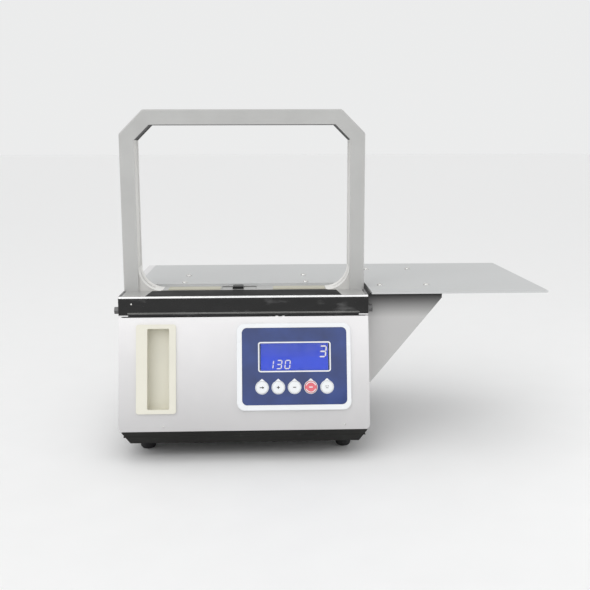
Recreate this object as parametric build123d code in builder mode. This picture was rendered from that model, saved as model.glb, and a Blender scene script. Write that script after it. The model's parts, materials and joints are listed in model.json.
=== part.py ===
"""Tabletop banding machine: a tape arch on a box with a slanted control door and a side table.

Millimetres. X is to the right, Y to the back, Z up. The origin is the middle of the four feet, on the bench.
"""

import os
from math import cos, pi, radians, sin, sqrt, tan

from build123d import *

# ---- driving dimensions ------------------------------------------------------------------------
# overall
body_w = 252.0            # width over the side panels
body_depth = 277.0        # from the toe of the front door to the rear panel
deck_z = 164.3            # top of the deck, above the bench
arch_top_z = 350.0        # top of the arch, above the bench

# feet and base tray
foot_side = 23.0           # from each side of the casing to the feet
foot_rear = 45.0           # from the rear panel to the rear feet
foot_to_deck_front = 20.0  # the deck's front face stands this far in front of the front feet
foot_bottom_r = 7.5
foot_top_r = 9.5
foot_round = 3.5
foot_neck_r = 5.0
foot_head_r = 7.0
foot_head_t = 2.0
foot_hole_r = 2.75         # clears an M5 bench bolt
tray_z = 17.0              # underside of the tray
tray_top_z = 31.5
tray_t = 1.5
tray_inset = 2.0           # the tray's rim stands this far inside the casing
tray_taper = 8.0           # each wall leans in by this much
lip_h = 10.0
shelf_drop = 7.0           # the shelf under the door, below the tray's rim
slot_len, slot_w = 40.0, 4.0         # air slots in the tray's floor
slot_pitch, slot_rows, slot_count = 12.0, 60.0, 7

# sheet metal casing
sheet = 1.2
shoulder_w = 9.5           # flange of each side panel that carries the deck
rear_round = 12.0
rear_drop = 3.0            # straight part of the top cover below its rounded rear edge
rear_lap = 2.0             # the rear panel reaches this far up inside the top cover
cover_screw_dx = 132.0
cover_screw_rows = (78.0, 130.0)     # behind the deck's front face

# deck
deck_depth = 68.0
rail_h = 19.0              # height of the rail, from the shoulder flanges to the top of the deck
rail_t = 3.0
rail_bevel = 1.8
deck_screw_r, deck_screw_len = 3.8, 5.0
deck_screw_back, deck_screw_up = 8.0, 4.0   # from the rail's front and foot
ledge = 3.0
deck_t = 3.0
fit_gap = 0.1
strip_start = 30.0         # the right track strip starts here
strip_gap_left, strip_gap_right = 6.0, 1.0   # from the corner guides to the strips
strip_t, strip_inset = 0.8, 2.0

# arch
arch_side = 0.8            # the arch stands this far inside the casing's sides
arch_t = 15.2              # thickness of the legs and the top, seen from the front
arch_front = 34.0          # front face of the arch, behind the deck's front face
arch_depth = 32.0
arch_chamfer = 24.2
arch_wall = 1.5
arch_round = 4.0
arch_edge = 1.2
arch_sole = 2.0            # plate that closes the foot of each leg
flap_front_w = 20.0        # strips that close the mouth of the arch, with a slot between them
flap_rear_w = 6.0
flap_t = 4.0
guide_r = 24.0             # corner guides at the feet of the arch
guide_slit = 3.0
guide_inset = 2.0          # from the arch's faces to the guides
guide_base = 1.0           # the slit stops this far above the deck

# front door, leaning out towards its foot
door_lean = 27.0           # how far the foot of the door stands in front of its head
door_depth = 12.0
door_t = 1.5
door_gap = 0.6             # under the door, up its face
door_head_gap = 2.3        # between the door's head and the deck rail
door_corner = 5.0
pin_r = 1.5
pin_inset = 3.2            # hinge axis from the body's right side
pin_depth = 10.0           # hinge axis behind the door's face
tab_w, tab_len, tab_t = 6.7, 12.0, 2.0
tab_back = 8.0             # the tab ends this far behind the hinge axis
tab_inset = 6.0            # from the door's foot and head to the tabs
notch_w, notch_h = 10.0, 6.0
panel_gap = 2.2            # between the door's side and the side panels
magnet_w, magnet_h, magnet_t, magnet_gap = 12.0, 24.0, 9.0, 0.4

# control panel
bezel_w, bezel_h, bezel_t, bezel_r = 115.0, 87.4, 3.0, 8.0
bezel_side, bezel_up = 18.6, 64.0    # from the casing's right side, and its middle's height
overlay_w, overlay_h, overlay_t, overlay_r = 105.5, 77.5, 1.4, 5.2
overlay_right, overlay_above = 0.5, 0.5     # from the bezel's middle to the overlay's
bezel_floor = 1.0          # the overlay lies on this ledge of the bezel
bezel_ledge = 3.2
bezel_edge = 1.0
window_w, window_h, window_r = 72.0, 29.2, 2.0
window_right, window_above = 0.1, 9.3       # from the overlay's middle to the window's
module_side, module_end = 1.0, 2.0          # the display module stands this far inside the window
key_d, key_rise, key_travel = 12.0, 1.0, 0.8
key_space, key_left, key_below = 4.35, 0.1, 21.2   # between keys, and from the overlay's middle
key_gap = 0.2
key_flange, key_flange_t = 0.8, 0.9  # lip that keeps each key behind the overlay
key_stem_r, key_edge = 2.0, 0.5
key_count = 5
board_depth = 8.0          # front of the circuit board, behind the door's face
board_t = 1.6
board_inset = 2.0          # the board stands this far inside the bezel's outline
standoff_r, standoff_inset = 2.4, 5.0

# recessed pull
pull_w, pull_h, pull_t = 39.7, 89.4, 1.8
pull_side, pull_up = 17.75, 62.9     # from the casing's left side, and its middle's height
pull_round = 2.5
recess_w, recess_h, recess_depth = 22.0, 81.0, 14.0
recess_shift = 2.2         # the recess lies this far right of the pull's middle
pull_undercut = 5.3
pull_wall = 1.5
pull_lip = 3.0

# side table
table_inset = 10.0         # from the casing's left side to the table
table_reach = 186.0        # the table stands this far out to the right of the casing
table_front, table_deep = 4.0, 220.0
table_t = 2.0
table_gap = 4.0            # from the deck's right side to the table
table_corner = 2.0
bracket_t = 2.0
bracket_front = 15.0       # front gusset, behind the deck's front face
bracket_reach = 78.0
bracket_drop = 95.0
bracket_nose = 6.0         # straight end of each gusset
bracket_toe = 5.0
bracket_skirt = 52.0       # height of the bracket's wall against the casing
bracket_len = 183.0
bolt_margin, bolt_drop = 36.6, 40.0  # the bracket's bolts, from its ends and below the deck
table_screw_reach = (18.0, 68.0)     # out from the casing
table_screw_along = (35.0, 158.0)    # along the bracket
screw_r, screw_head_r, screw_head_h, screw_len = 2.0, 3.6, 1.2, 7.0

# sealing head and its cam drive
head_x = -6.0
slider_w, slider_d = 10.6, 13.5
slider_wall = 1.4          # between neighbouring sliders
slider_gap = 0.2
slider_below = 4.3         # top of the sliders, below the deck plate
slider_lift = 4.5
groove_w, groove_deep = 0.8, 0.6
groove_places = (-4.0, -1.5, 1.0, 3.5)
block_below, block_h = 12.3, 20.5    # guide block, below the deck plate
block_wall = 6.0
cam_turn = 150.0           # degrees of the camshaft that lift the sliders
cam_below = 57.3           # camshaft, below the deck plate
cam_base_r = 11.0
cam_w = 8.0
cam_gap = 0.25
shaft_r = 5.0
running = 0.05
follower_r = 5.0
dwell_to, base_from = 200.0, 310.0   # degrees round each cam
gear_module = 1.25
gear_teeth, pinion_teeth = 36, 12
gear_w = 6.0
gear_backlash = 0.6
gear_space = 3.0           # from the right cam to the gear
pinion_over = 0.5          # the pinion is wider than the gear by this much on each side
pinion_shaft_r = 2.5
shaft_over = 4.0           # the camshaft stands this far out of the plates
mech_t = 3.0
mech_half = 32.0           # from the head's middle to each mechanism plate
mech_front, mech_back = 24.0, 48.0   # the plates' reach from the tape plane
mech_below = 103.3         # foot of the plates, below the deck plate
mech_relief = 2.0          # the plates stand this far clear of the top cover's front edge
tie_rod_r, tie_rod_inset = 3.0, 6.0
tie_rod_rise, tie_rod_fall = 8.0, 12.0
gearbox_r, gearbox_len = 17.0, 22.0
motor_r, motor_len = 14.5, 34.0
motor_shaft_in = 14.0      # length of a driven shaft inside its motor
motor_shaft_end = 0.5
anvil_over = 0.7           # the anvil reaches this far past the outer sliders
anvil_d, anvil_t = 14.0, 2.5
rib_w, rib_d, rib_h = 11.4, 14.0, 3.0
rib_x = -7.0
anvil_travel = 8.0
anvil_gap = 0.3
anvil_bevel = 0.8

# feed rollers
feed_x, feed_below = 58.0, 49.3      # the feed roller's axis, below the deck plate
feed_r, pinch_r = 12.0, 8.0
feed_over = 1.0            # the rollers are wider than the tape by this much on each side
tape_gap = 0.3
feed_shaft_r = 3.0
feed_plate_t, feed_plate_gap = 3.0, 1.0
feed_plate_side, feed_plate_under = 16.0, 22.0
pinch_shaft_out = 6.0
roller_bevel = 0.8
feed_motor_r, feed_motor_len = 11.5, 24.0

# tape reel
reel_side = 54.0           # from the casing's left side to the reel's middle
reel_space = 4.0           # over and under the reel
reel_behind = 7.5          # from the reel to the rear panel
tape_w = 20.0
hub_r = 20.0
flange_rim = 4.0           # the flanges stand this far out of a full roll
flange_t = 1.4
flange_hole_r, flange_hole_at, flange_holes = 11.0, 46.0, 6
reel_shaft_r = 4.0
reel_arm_gap, reel_arm_t, reel_arm_w = 8.6, 2.0, 24.0
reel_arm_over = 8.0        # the arms reach this far above the shaft
reel_shaft_over = 2.0
reel_foot_d, reel_foot_t = 40.0, 2.0

# rear
hatch_w, hatch_side = 80.0, 12.0
hatch_margin = 8.9         # from the hatch's opening to the tray and to the top cover
hatch_lap, hatch_t, hatch_round = 3.0, 1.2, 3.0
hatch_gap = 0.3            # between the hatch and the rear panel
hinge_r, hinge_pin_r = 2.4, 1.0
leaf_t, leaf_gap = 1.6, 0.3
knuckle = 16.0
knob_r, knob_len, knob_inset, knob_bevel = 6.0, 6.0, 8.0, 1.0
vent_x, vent_len, vent_w, vent_pitch, vent_count = 32.0, 70.0, 3.6, 9.0, 6
vent_drop = 53.3           # middle of the vents, below the top cover's rear skirt
inlet_side, inlet_z = 41.0, 62.0     # from the casing's right side
inlet_w, inlet_h = 27.8, 20.3
inlet_flange_w, inlet_flange_h, inlet_flange_t = 34.0, 25.0, 2.0
inlet_len, inlet_well = 18.0, 14.0
socket_w, socket_h, socket_bevel = 24.4, 16.6, 4.0
contact_w, contact_h, contact_pitch = 2.0, 4.0, 7.0
contact_low, contact_high = -1.0, 3.0       # outer contacts and the middle one
switch_above = 42.0        # from the inlet's middle to the switch's
switch_w, switch_h, switch_len = 19.3, 13.0, 14.0
switch_flange_w, switch_flange_h, switch_flange_t = 21.5, 15.0, 1.5
rocker_r, rocker_h = 8.3, 10.8
rocker_pivot, rocker_gap = 4.0, 0.3
rocker_front, rocker_back = 6.5, 2.0  # the rocker's flats, from its pivot
rocker_swing = 12.0

# power supply, in front of the rear panel
supply_behind = 97.5       # from the rear panel to the transformer's front
supply_side = 56.0         # from the casing's right side to the transformer's middle
core_w, core_h, core_d = 60.0, 50.0, 24.0
core_slot_w, core_slot_h, core_slot_at = 10.0, 30.0, 15.0
coil_w, coil_d, coil_round = 39.0, 42.0, 4.0
board_side = 26.0          # from the casing's right side to the power board
power_board_w, power_board_d, power_board_up = 110.0, 56.0, 6.0
power_board_y = -20.0
post_r, post_inset = 3.0, 5.0
can_r, can_h = 7.0, 18.0
can_places = (-25.0, -7.0)           # along the power board, from its middle
sink_at, sink_w, sink_d = 21.0, 24.0, 20.0

# ---- places worked out from them ---------------------------------------------------------------
half_w = body_w / 2
feet_dx = body_w - 2 * foot_side
feet_dy = body_depth - door_lean - foot_to_deck_front - foot_rear
front_y = -feet_dy / 2 - foot_to_deck_front
toe_y = front_y - door_lean
rear_y = toe_y + body_depth
deck_back_y = front_y + deck_depth
shoulder_z = deck_z - rail_h            # top of the flanges that carry the rail
deck_under = deck_z - deck_t
arch_w = body_w - 2 * arch_side
arch_y = front_y + arch_front
tape_y = arch_y + arch_depth / 2        # middle plane of the arch and the tape in it
door_head_z = shoulder_z - door_head_gap
door_face = sqrt(door_lean**2 + (door_head_z - tray_top_z) ** 2)
lean_sin = door_lean / door_face
lean_cos = (door_head_z - tray_top_z) / door_face
inner_w = half_w - sheet
inner_half = arch_w / 2 - arch_t
bezel_x = half_w - bezel_side - bezel_w / 2
overlay_x, overlay_up = bezel_x + overlay_right, bezel_up + overlay_above
window_x, window_up = overlay_x + window_right, overlay_up + window_above
key_x, key_up = overlay_x - key_left, overlay_up - key_below
key_pitch = key_d + key_space
pull_x = pull_side + pull_w / 2 - half_w
table_left, table_right = table_inset - half_w, half_w + table_reach
table_top_z = deck_z + table_t
table_y0 = front_y + table_front
table_y1 = table_y0 + table_deep
table_notch_y = deck_back_y + 1.0
table_notch_x = half_w + table_gap
slider_pitch = slider_w + slider_wall
slider_top_z = deck_under - slider_below
anvil_w = 3 * slider_w + 2 * slider_wall + 2 * anvil_over
cam_z = deck_under - cam_below
gear_distance = gear_module * (gear_teeth + pinion_teeth) / 2
pinion_y = tape_y + gear_distance
cam_rise = slider_lift / radians(cam_turn)
follower_z = cam_z + cam_base_r + cam_gap + follower_r
feed_z = deck_under - feed_below
feed_w = tape_w + 2 * feed_over
pinch_x = feed_x + feed_r + pinch_r + tape_gap
floor_z = tray_z + tray_t
flange_r = (deck_z - sheet - floor_z) / 2 - reel_space
tape_r = flange_r - flange_rim
reel_x = reel_side - half_w
reel_y = rear_y - reel_behind - flange_r
reel_z = floor_z + reel_space + flange_r
cover_foot_z = deck_z - rear_round - rear_drop
hatch_x = hatch_side + hatch_w / 2 - half_w
hatch_h = cover_foot_z - tray_top_z - 2 * hatch_margin
hatch_z = (cover_foot_z + tray_top_z) / 2
inlet_x = half_w - inlet_side
switch_x, switch_z = inlet_x, inlet_z + switch_above

# The door's face: local x is the row's X, local y runs up the face from its foot, local z comes out.
face = Plane(origin=(0, toe_y, tray_top_z), x_dir=(1, 0, 0), z_dir=(0, -lean_cos, lean_sin))
hinge_x = half_w - pin_inset
hinge_base = face.from_local_coords(Vector(hinge_x, 0, -pin_depth))

tab_ups = [tab_inset, door_face - tab_inset - tab_t]

parts = {}


def xz(y):
    """A sketch plane across the machine at y, facing the front: local x is X and local y is Z."""
    return Plane.XZ.offset(-y)


def yz(x):
    """A sketch plane along the machine at x, facing right: local x is Y and local y is Z."""
    return Plane.YZ.offset(x)


def keep(name, piece):
    piece.part.label = name
    parts[name] = piece.part


def hinge_pin_plane(up):
    """Across the door's hinge axis, a distance up the face."""
    origin = face.from_local_coords(Vector(hinge_x, up, -pin_depth))
    return Plane(origin=origin, x_dir=(1, 0, 0), z_dir=(0, lean_sin, lean_cos))


def spots(*places):
    return Locations(*[(x, y, 0) for x, y in places])


# ---- base --------------------------------------------------------------------------------------
rim_w = body_w - 2 * tray_inset
rim_d = body_depth - 2 * tray_inset
rim_y = (toe_y + rear_y) / 2
lip_front_y = toe_y + door_depth + panel_gap + tab_back
lip_back_y = rear_y - sheet
lip_w = 2 * inner_w
shelf_z = tray_top_z - shelf_drop

with BuildPart() as base_tray:
    with BuildSketch(Plane.XY.offset(tray_z)):
        with Locations((0, rim_y)):
            Rectangle(rim_w - 2 * tray_taper, rim_d - 2 * tray_taper)
    with BuildSketch(Plane.XY.offset(tray_top_z)):
        with Locations((0, rim_y)):
            Rectangle(rim_w, rim_d)
    loft()
    with BuildSketch(Plane.XY.offset(tray_z + tray_t)):
        with Locations((0, rim_y)):
            Rectangle(rim_w - 2 * tray_taper - 2 * tray_t, rim_d - 2 * tray_taper - 2 * tray_t)
    with BuildSketch(Plane.XY.offset(tray_top_z)):
        with Locations((0, rim_y)):
            Rectangle(rim_w - 2 * tray_t, rim_d - 2 * tray_t)
    loft(mode=Mode.SUBTRACT)
    # shelf under the door, and the lip that the casing is screwed to
    with BuildSketch(Plane.XY.offset(shelf_z)):
        with Locations((0, (toe_y + tray_inset + 2 * tray_t + lip_front_y) / 2)):
            Rectangle(lip_w - 4 * tray_t, lip_front_y - toe_y - tray_inset - 2 * tray_t)
    extrude(amount=tray_t)
    with BuildSketch(Plane.XY.offset(shelf_z)):
        with Locations((0, (lip_front_y + lip_back_y) / 2)):
            Rectangle(lip_w, lip_back_y - lip_front_y)
            Rectangle(lip_w - 2 * sheet, lip_back_y - lip_front_y - 2 * sheet, mode=Mode.SUBTRACT)
    extrude(amount=tray_top_z + lip_h - shelf_z)
    with BuildSketch(Plane.XY.offset(tray_z)):
        with GridLocations(feet_dx, feet_dy, 2, 2):
            Circle(foot_neck_r)
    extrude(amount=tray_t, mode=Mode.SUBTRACT)
    with BuildSketch(Plane.XY.offset(tray_z)):
        with GridLocations(slot_pitch, slot_rows, slot_count, 2):
            SlotOverall(slot_len, slot_w, rotation=90)
    extrude(amount=tray_t, mode=Mode.SUBTRACT)
    # slanted seat that follows the door's foot as it swings
    with BuildSketch(face.offset(-door_depth - panel_gap)):
        Rectangle(body_w, 2 * lip_h, align=(Align.CENTER, Align.MIN))
    extrude(amount=door_depth + panel_gap, mode=Mode.SUBTRACT)
keep("base_tray", base_tray)

with BuildPart() as feet:
    with BuildSketch(Plane.XZ):
        with BuildLine():
            Polyline(
                (foot_hole_r, 0), (foot_bottom_r, 0), (foot_top_r, tray_z),
                (foot_neck_r, tray_z), (foot_neck_r, tray_z + tray_t),
                (foot_head_r, tray_z + tray_t), (foot_head_r, tray_z + tray_t + foot_head_t),
                (foot_hole_r, tray_z + tray_t + foot_head_t), close=True,
            )
        make_face()
    revolve(axis=Axis.Z)
    sole_edges = feet.edges().filter_by(GeomType.CIRCLE).group_by(Axis.Z)[0]
    fillet(sole_edges.sort_by(SortBy.RADIUS)[-1], foot_round)
one_foot = feet.part
with BuildPart() as feet:
    with GridLocations(feet_dx, feet_dy, 2, 2):
        add(one_foot)
keep("feet", feet)

# ---- casing ------------------------------------------------------------------------------------
bracket_y0 = front_y + bracket_front
side_bolts = [(bracket_y0 + along, deck_z - bolt_drop) for along in (bolt_margin, bracket_len - bolt_margin)]
panel_foot_y = toe_y + door_depth / lean_cos + panel_gap
panel_head_y = panel_foot_y + (shoulder_z - tray_top_z) * lean_sin / lean_cos


def side_panel(side):
    """side is -1 for the left panel and +1 for the right one."""
    outer_x = side * half_w
    with BuildPart() as panel:
        with BuildSketch(yz(outer_x)) as outline:
            with BuildLine():
                Polyline(
                    (panel_foot_y, tray_top_z), (rear_y, tray_top_z), (rear_y, deck_z - sheet),
                    (deck_back_y + fit_gap, deck_z - sheet), (deck_back_y + fit_gap, shoulder_z),
                    (panel_head_y, shoulder_z), close=True,
                )
            make_face()
            rear_top = outline.vertices().group_by(Axis.Y)[-1].sort_by(Axis.X)[-1]
            fillet(rear_top, rear_round - sheet)
        extrude(amount=-side * sheet)
        # shoulder flange that carries the deck rail; its front edge shows above the door
        with BuildSketch(Plane.XY.offset(shoulder_z - sheet)):
            with Locations((side * (half_w - shoulder_w / 2), front_y + deck_depth / 2)):
                Rectangle(shoulder_w, deck_depth)
        extrude(amount=sheet)
        if side > 0:
            # hinge tabs that reach forward into the door
            for up in tab_ups:
                with BuildSketch(hinge_pin_plane(up)):
                    with Locations((pin_inset - tab_w / 2, tab_back - tab_len / 2)):
                        Rectangle(tab_w, tab_len)
                    Circle(pin_r, mode=Mode.SUBTRACT)
                extrude(amount=tab_t)
            with BuildSketch(yz(outer_x)):
                with Locations(*side_bolts):
                    Circle(screw_r)
            extrude(amount=-sheet, mode=Mode.SUBTRACT)
    return panel


keep("side_panel_left", side_panel(-1))
keep("side_panel_right", side_panel(1))

cover_y0 = deck_back_y + fit_gap
cover_screws = [(side * cover_screw_dx / 2, front_y + row) for side in (-1, 1) for row in cover_screw_rows]
with BuildPart() as top_cover:
    with BuildSketch(yz(-half_w)) as outline:
        with BuildLine():
            Polyline(
                (cover_y0, deck_z), (rear_y + sheet, deck_z), (rear_y + sheet, cover_foot_z),
                (rear_y, cover_foot_z), (rear_y, deck_z - sheet), (cover_y0, deck_z - sheet), close=True,
            )
        make_face()
        fillet(outline.vertices().group_by(Axis.Y)[-2].sort_by(Axis.X)[-1], rear_round - sheet)
        fillet(outline.vertices().group_by(Axis.Y)[-1].sort_by(Axis.X)[-1], rear_round)
    extrude(amount=body_w)
    with BuildSketch(Plane.XY.offset(deck_z)):
        with spots(*cover_screws):
            Circle(screw_r)
    extrude(amount=-sheet, mode=Mode.SUBTRACT)
keep("top_cover", top_cover)

rear_panel_top = cover_foot_z + rear_lap
with BuildPart() as rear_panel:
    with BuildSketch(xz(rear_y)):
        with Locations((0, (tray_top_z + rear_panel_top) / 2)):
            Rectangle(2 * inner_w, rear_panel_top - tray_top_z)
        with Locations((hatch_x, hatch_z)):
            Rectangle(hatch_w, hatch_h, mode=Mode.SUBTRACT)
        with Locations((inlet_x, inlet_z)):
            Rectangle(inlet_w + 2 * fit_gap, inlet_h + 2 * fit_gap, mode=Mode.SUBTRACT)
        with Locations((switch_x, switch_z)):
            Rectangle(switch_w + 2 * fit_gap, switch_h + 2 * fit_gap, mode=Mode.SUBTRACT)
        with Locations((vent_x, cover_foot_z - vent_drop)):
            with GridLocations(vent_pitch, 1, vent_count, 1):
                SlotOverall(vent_len, vent_w, rotation=90, mode=Mode.SUBTRACT)
    extrude(amount=sheet)
keep("rear_panel", rear_panel)

# ---- rear hatch over the tape reel ---------------------------------------------------------------
hatch_left = hatch_x - hatch_w / 2 - hatch_lap
hatch_y = rear_y + hatch_gap
hinge2_x = hatch_left - hinge_r
hinge2_y = hatch_y + hinge_r
knuckle_z = [hatch_z + side * (hatch_h / 2 - knuckle) for side in (-1, 1)]
knuckle_arm = 2 * hinge_r + hatch_lap    # from the hinge axis onto the hatch

with BuildPart() as rear_hatch:
    with BuildSketch(xz(hatch_y)):
        with Locations((hatch_x, hatch_z)):
            RectangleRounded(hatch_w + 2 * hatch_lap, hatch_h + 2 * hatch_lap, hatch_round)
    extrude(amount=-hatch_t)
    for z in knuckle_z:
        with BuildSketch(Plane.XY.offset(z - knuckle / 2)):
            with Locations((hinge2_x, hinge2_y)):
                Circle(hinge_r)
            with Locations((hinge2_x + knuckle_arm / 2, hatch_y + hatch_t / 2)):
                Rectangle(knuckle_arm, hatch_t)
        extrude(amount=knuckle)
        with BuildSketch(Plane.XY.offset(z - knuckle / 2)):
            with Locations((hinge2_x, hinge2_y)):
                Circle(hinge_pin_r + running)
        extrude(amount=knuckle, mode=Mode.SUBTRACT)
keep("rear_hatch", rear_hatch)

leaf_h = knuckle_z[1] - knuckle_z[0] - knuckle - 2 * leaf_gap
with BuildPart() as hatch_hinge:
    with BuildSketch(Plane.XY.offset(hatch_z - leaf_h / 2)):
        with Locations((hinge2_x, hinge2_y)):
            Circle(hinge_r)
        with Locations((hinge2_x - leaf_t, (rear_y + hinge2_y) / 2)):
            Rectangle(leaf_t, hinge2_y - rear_y)
    extrude(amount=leaf_h)
    with BuildSketch(Plane.XY.offset(knuckle_z[0] - knuckle / 2)):
        with Locations((hinge2_x, hinge2_y)):
            Circle(hinge_pin_r)
    extrude(amount=knuckle_z[1] - knuckle_z[0] + knuckle)
keep("hatch_hinge", hatch_hinge)

knob_x = hatch_x + hatch_w / 2 - knob_inset
with BuildPart() as hatch_knob:
    with BuildSketch(xz(hatch_y + hatch_t)):
        with Locations((knob_x, hatch_z)):
            Circle(knob_r)
    extrude(amount=-knob_len)
    chamfer(hatch_knob.edges().group_by(Axis.Y)[-1], knob_bevel)
keep("hatch_knob", hatch_knob)

# ---- deck --------------------------------------------------------------------------------------
deck_y = front_y + deck_depth / 2
with BuildPart() as deck_rail:
    with BuildSketch(Plane.XY.offset(shoulder_z)):
        with Locations((0, deck_y)):
            Rectangle(body_w, deck_depth)
    extrude(amount=deck_z - shoulder_z)
    chamfer(deck_rail.edges().group_by(Axis.Z)[-1].sort_by(Axis.Y)[0], rail_bevel)
    with BuildSketch(Plane.XY.offset(shoulder_z)):
        with Locations((0, deck_y + rail_t)):
            Rectangle(body_w - 2 * (rail_t + ledge), deck_depth)
    extrude(amount=deck_z - shoulder_z, mode=Mode.SUBTRACT)
    with BuildSketch(Plane.XY.offset(deck_z - deck_t)):
        with Locations((0, deck_y + rail_t)):
            Rectangle(body_w - 2 * rail_t, deck_depth)
    extrude(amount=deck_t, mode=Mode.SUBTRACT)
keep("deck_rail", deck_rail)

with BuildPart() as deck_screws:
    for side in (-1, 1):
        with BuildSketch(yz(side * half_w)):
            with Locations((front_y + deck_screw_back, shoulder_z + deck_screw_up)):
                RegularPolygon(deck_screw_r, 6)
        extrude(amount=side * deck_screw_len)
keep("deck_screws", deck_screws)

plate_y0 = front_y + rail_t + fit_gap
window_half = anvil_w / 2 + anvil_gap
with BuildPart() as deck_plate:
    with BuildSketch(Plane.XY.offset(deck_z - deck_t)):
        with Locations((0, (plate_y0 + deck_back_y) / 2)):
            Rectangle(body_w - 2 * (rail_t + fit_gap), deck_back_y - plate_y0)
        with Locations((head_x, tape_y + anvil_travel / 2)):
            Rectangle(2 * window_half, anvil_d + 2 * anvil_gap + anvil_travel, mode=Mode.SUBTRACT)
    extrude(amount=deck_t)
keep("deck_plate", deck_plate)

guide_toe = inner_half - guide_r        # the corner guides end here on the deck
left_strip = (strip_gap_left - guide_toe, head_x - window_half - strip_gap_right)
right_strip = (strip_start, guide_toe - strip_gap_right)
with BuildPart() as track_strips:
    with BuildSketch(Plane.XY.offset(deck_z)):
        for x0, x1 in (left_strip, right_strip):
            with Locations(((x0 + x1) / 2, tape_y)):
                Rectangle(x1 - x0, tape_w - 2 * strip_inset)
    extrude(amount=strip_t)
keep("track_strips", track_strips)

with BuildPart() as seal_anvil:
    with BuildSketch(Plane.XY.offset(deck_z - anvil_t)):
        with Locations((head_x, tape_y)):
            Rectangle(anvil_w, anvil_d)
    extrude(amount=anvil_t)
    with BuildSketch(Plane.XY.offset(deck_z)):
        with Locations((rib_x, tape_y)):
            Rectangle(rib_w, rib_d)
    extrude(amount=rib_h)
    chamfer(seal_anvil.edges().group_by(Axis.Z)[-1], anvil_bevel)
keep("seal_anvil", seal_anvil)


def corner_guide(side):
    """A curved guide that turns the tape from the deck up into the leg of the arch, in two bands."""
    corner = Vector(side * inner_half, deck_z)
    with BuildPart() as guide:
        with BuildSketch(xz(arch_y + guide_inset)):
            with BuildLine():
                head, toe = (corner.X, corner.Y + guide_r), (corner.X - side * guide_r, corner.Y)
                Polyline(head, (corner.X, corner.Y), toe)
                RadiusArc(toe, head, -side * guide_r)
            make_face()
        extrude(amount=-(arch_depth - 2 * guide_inset))
        with BuildSketch(xz(tape_y - guide_slit / 2)):
            with Locations((corner.X - side * guide_r / 2, corner.Y + guide_base + guide_r / 2)):
                Rectangle(guide_r, guide_r)
        extrude(amount=-guide_slit, mode=Mode.SUBTRACT)
    return guide


guide_left = corner_guide(-1).part
guide_right = corner_guide(1).part
with BuildPart() as corner_guides:
    add(guide_left)
    add(guide_right)
keep("corner_guides", corner_guides)

# ---- arch --------------------------------------------------------------------------------------
corner_share = 2 - sqrt(2)   # a band of even width loses this share of its width at each 45 degree corner


def arch_outline(inset, foot_z):
    """Points of the arch's outline moved inwards, from the left foot to the right foot."""
    half = arch_w / 2 - inset
    top = arch_top_z - inset
    cut = arch_chamfer - inset * corner_share
    left = [(-half, foot_z), (-half, top - cut), (-half + cut, top)]
    return left + [(-x, z) for x, z in reversed(left)]


with BuildPart() as arch_frame:
    with BuildSketch(xz(arch_y)):
        Polygon(*arch_outline(0, deck_z), align=None)
    extrude(amount=-arch_depth)
    corners = arch_frame.edges().filter_by(Axis.Y).filter_by(lambda e: e.center().Z > deck_z + 1)
    fillet(corners, arch_round)
    rims = arch_frame.edges().filter_by(lambda e: e.center().Z > deck_z + 1)
    fillet(rims.filter_by(lambda e: abs(e.center().Y - tape_y) > arch_depth / 2 - 0.01), arch_edge)
    with BuildSketch(xz(arch_y)):
        Polygon(*arch_outline(arch_t, deck_z), align=None)
    extrude(amount=-arch_depth, mode=Mode.SUBTRACT)
    with BuildSketch(xz(arch_y + arch_wall)):
        Polygon(*arch_outline(arch_wall, deck_z + arch_sole), align=None)
    extrude(amount=-(arch_depth - 2 * arch_wall), mode=Mode.SUBTRACT)
keep("arch_frame", arch_frame)


leg_top_z = arch_top_z - arch_t - (arch_chamfer - arch_t * corner_share)
liner_foot_z = deck_z + arch_sole


def arch_liner(z0, z1):
    """The two strips that half close the mouth of the arch, between two heights."""
    with BuildPart() as liner:
        for y0, width in (
            (arch_y + arch_wall, flap_front_w),
            (arch_y + arch_depth - arch_wall - flap_rear_w, flap_rear_w),
        ):
            with BuildSketch(xz(y0)):
                Polygon(*arch_outline(arch_t - flap_t, liner_foot_z), align=None)
                Polygon(*arch_outline(arch_t, liner_foot_z), align=None, mode=Mode.SUBTRACT)
                with Locations((0, (z0 + z1) / 2)):
                    Rectangle(arch_w, z1 - z0, mode=Mode.INTERSECT)
            extrude(amount=-width)
    return liner


keep("leg_liners", arch_liner(liner_foot_z, leg_top_z))
keep("top_liners", arch_liner(leg_top_z, arch_top_z))

# ---- side table --------------------------------------------------------------------------------
bracket_screws = [
    (half_w + reach, bracket_y0 + along) for reach in table_screw_reach for along in table_screw_along
]
with BuildPart() as table_plate:
    with BuildSketch(Plane.XY.offset(deck_z)) as outline:
        with BuildLine():
            Polyline(
                (table_left, table_notch_y), (table_notch_x, table_notch_y), (table_notch_x, table_y0),
                (table_right, table_y0), (table_right, table_y1), (table_left, table_y1), close=True,
            )
        make_face()
        fillet(outline.vertices().group_by(Axis.X)[-1], table_corner)
    extrude(amount=table_t)
    with BuildSketch(Plane.XY.offset(deck_z)):
        with spots(*cover_screws, *bracket_screws):
            Circle(screw_r)
    extrude(amount=table_t, mode=Mode.SUBTRACT)
    with BuildSketch(Plane.XY.offset(table_top_z)):
        with spots(*cover_screws, *bracket_screws):
            Circle(screw_head_r)
    extrude(amount=-screw_head_h, mode=Mode.SUBTRACT)
keep("table_plate", table_plate)

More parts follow.
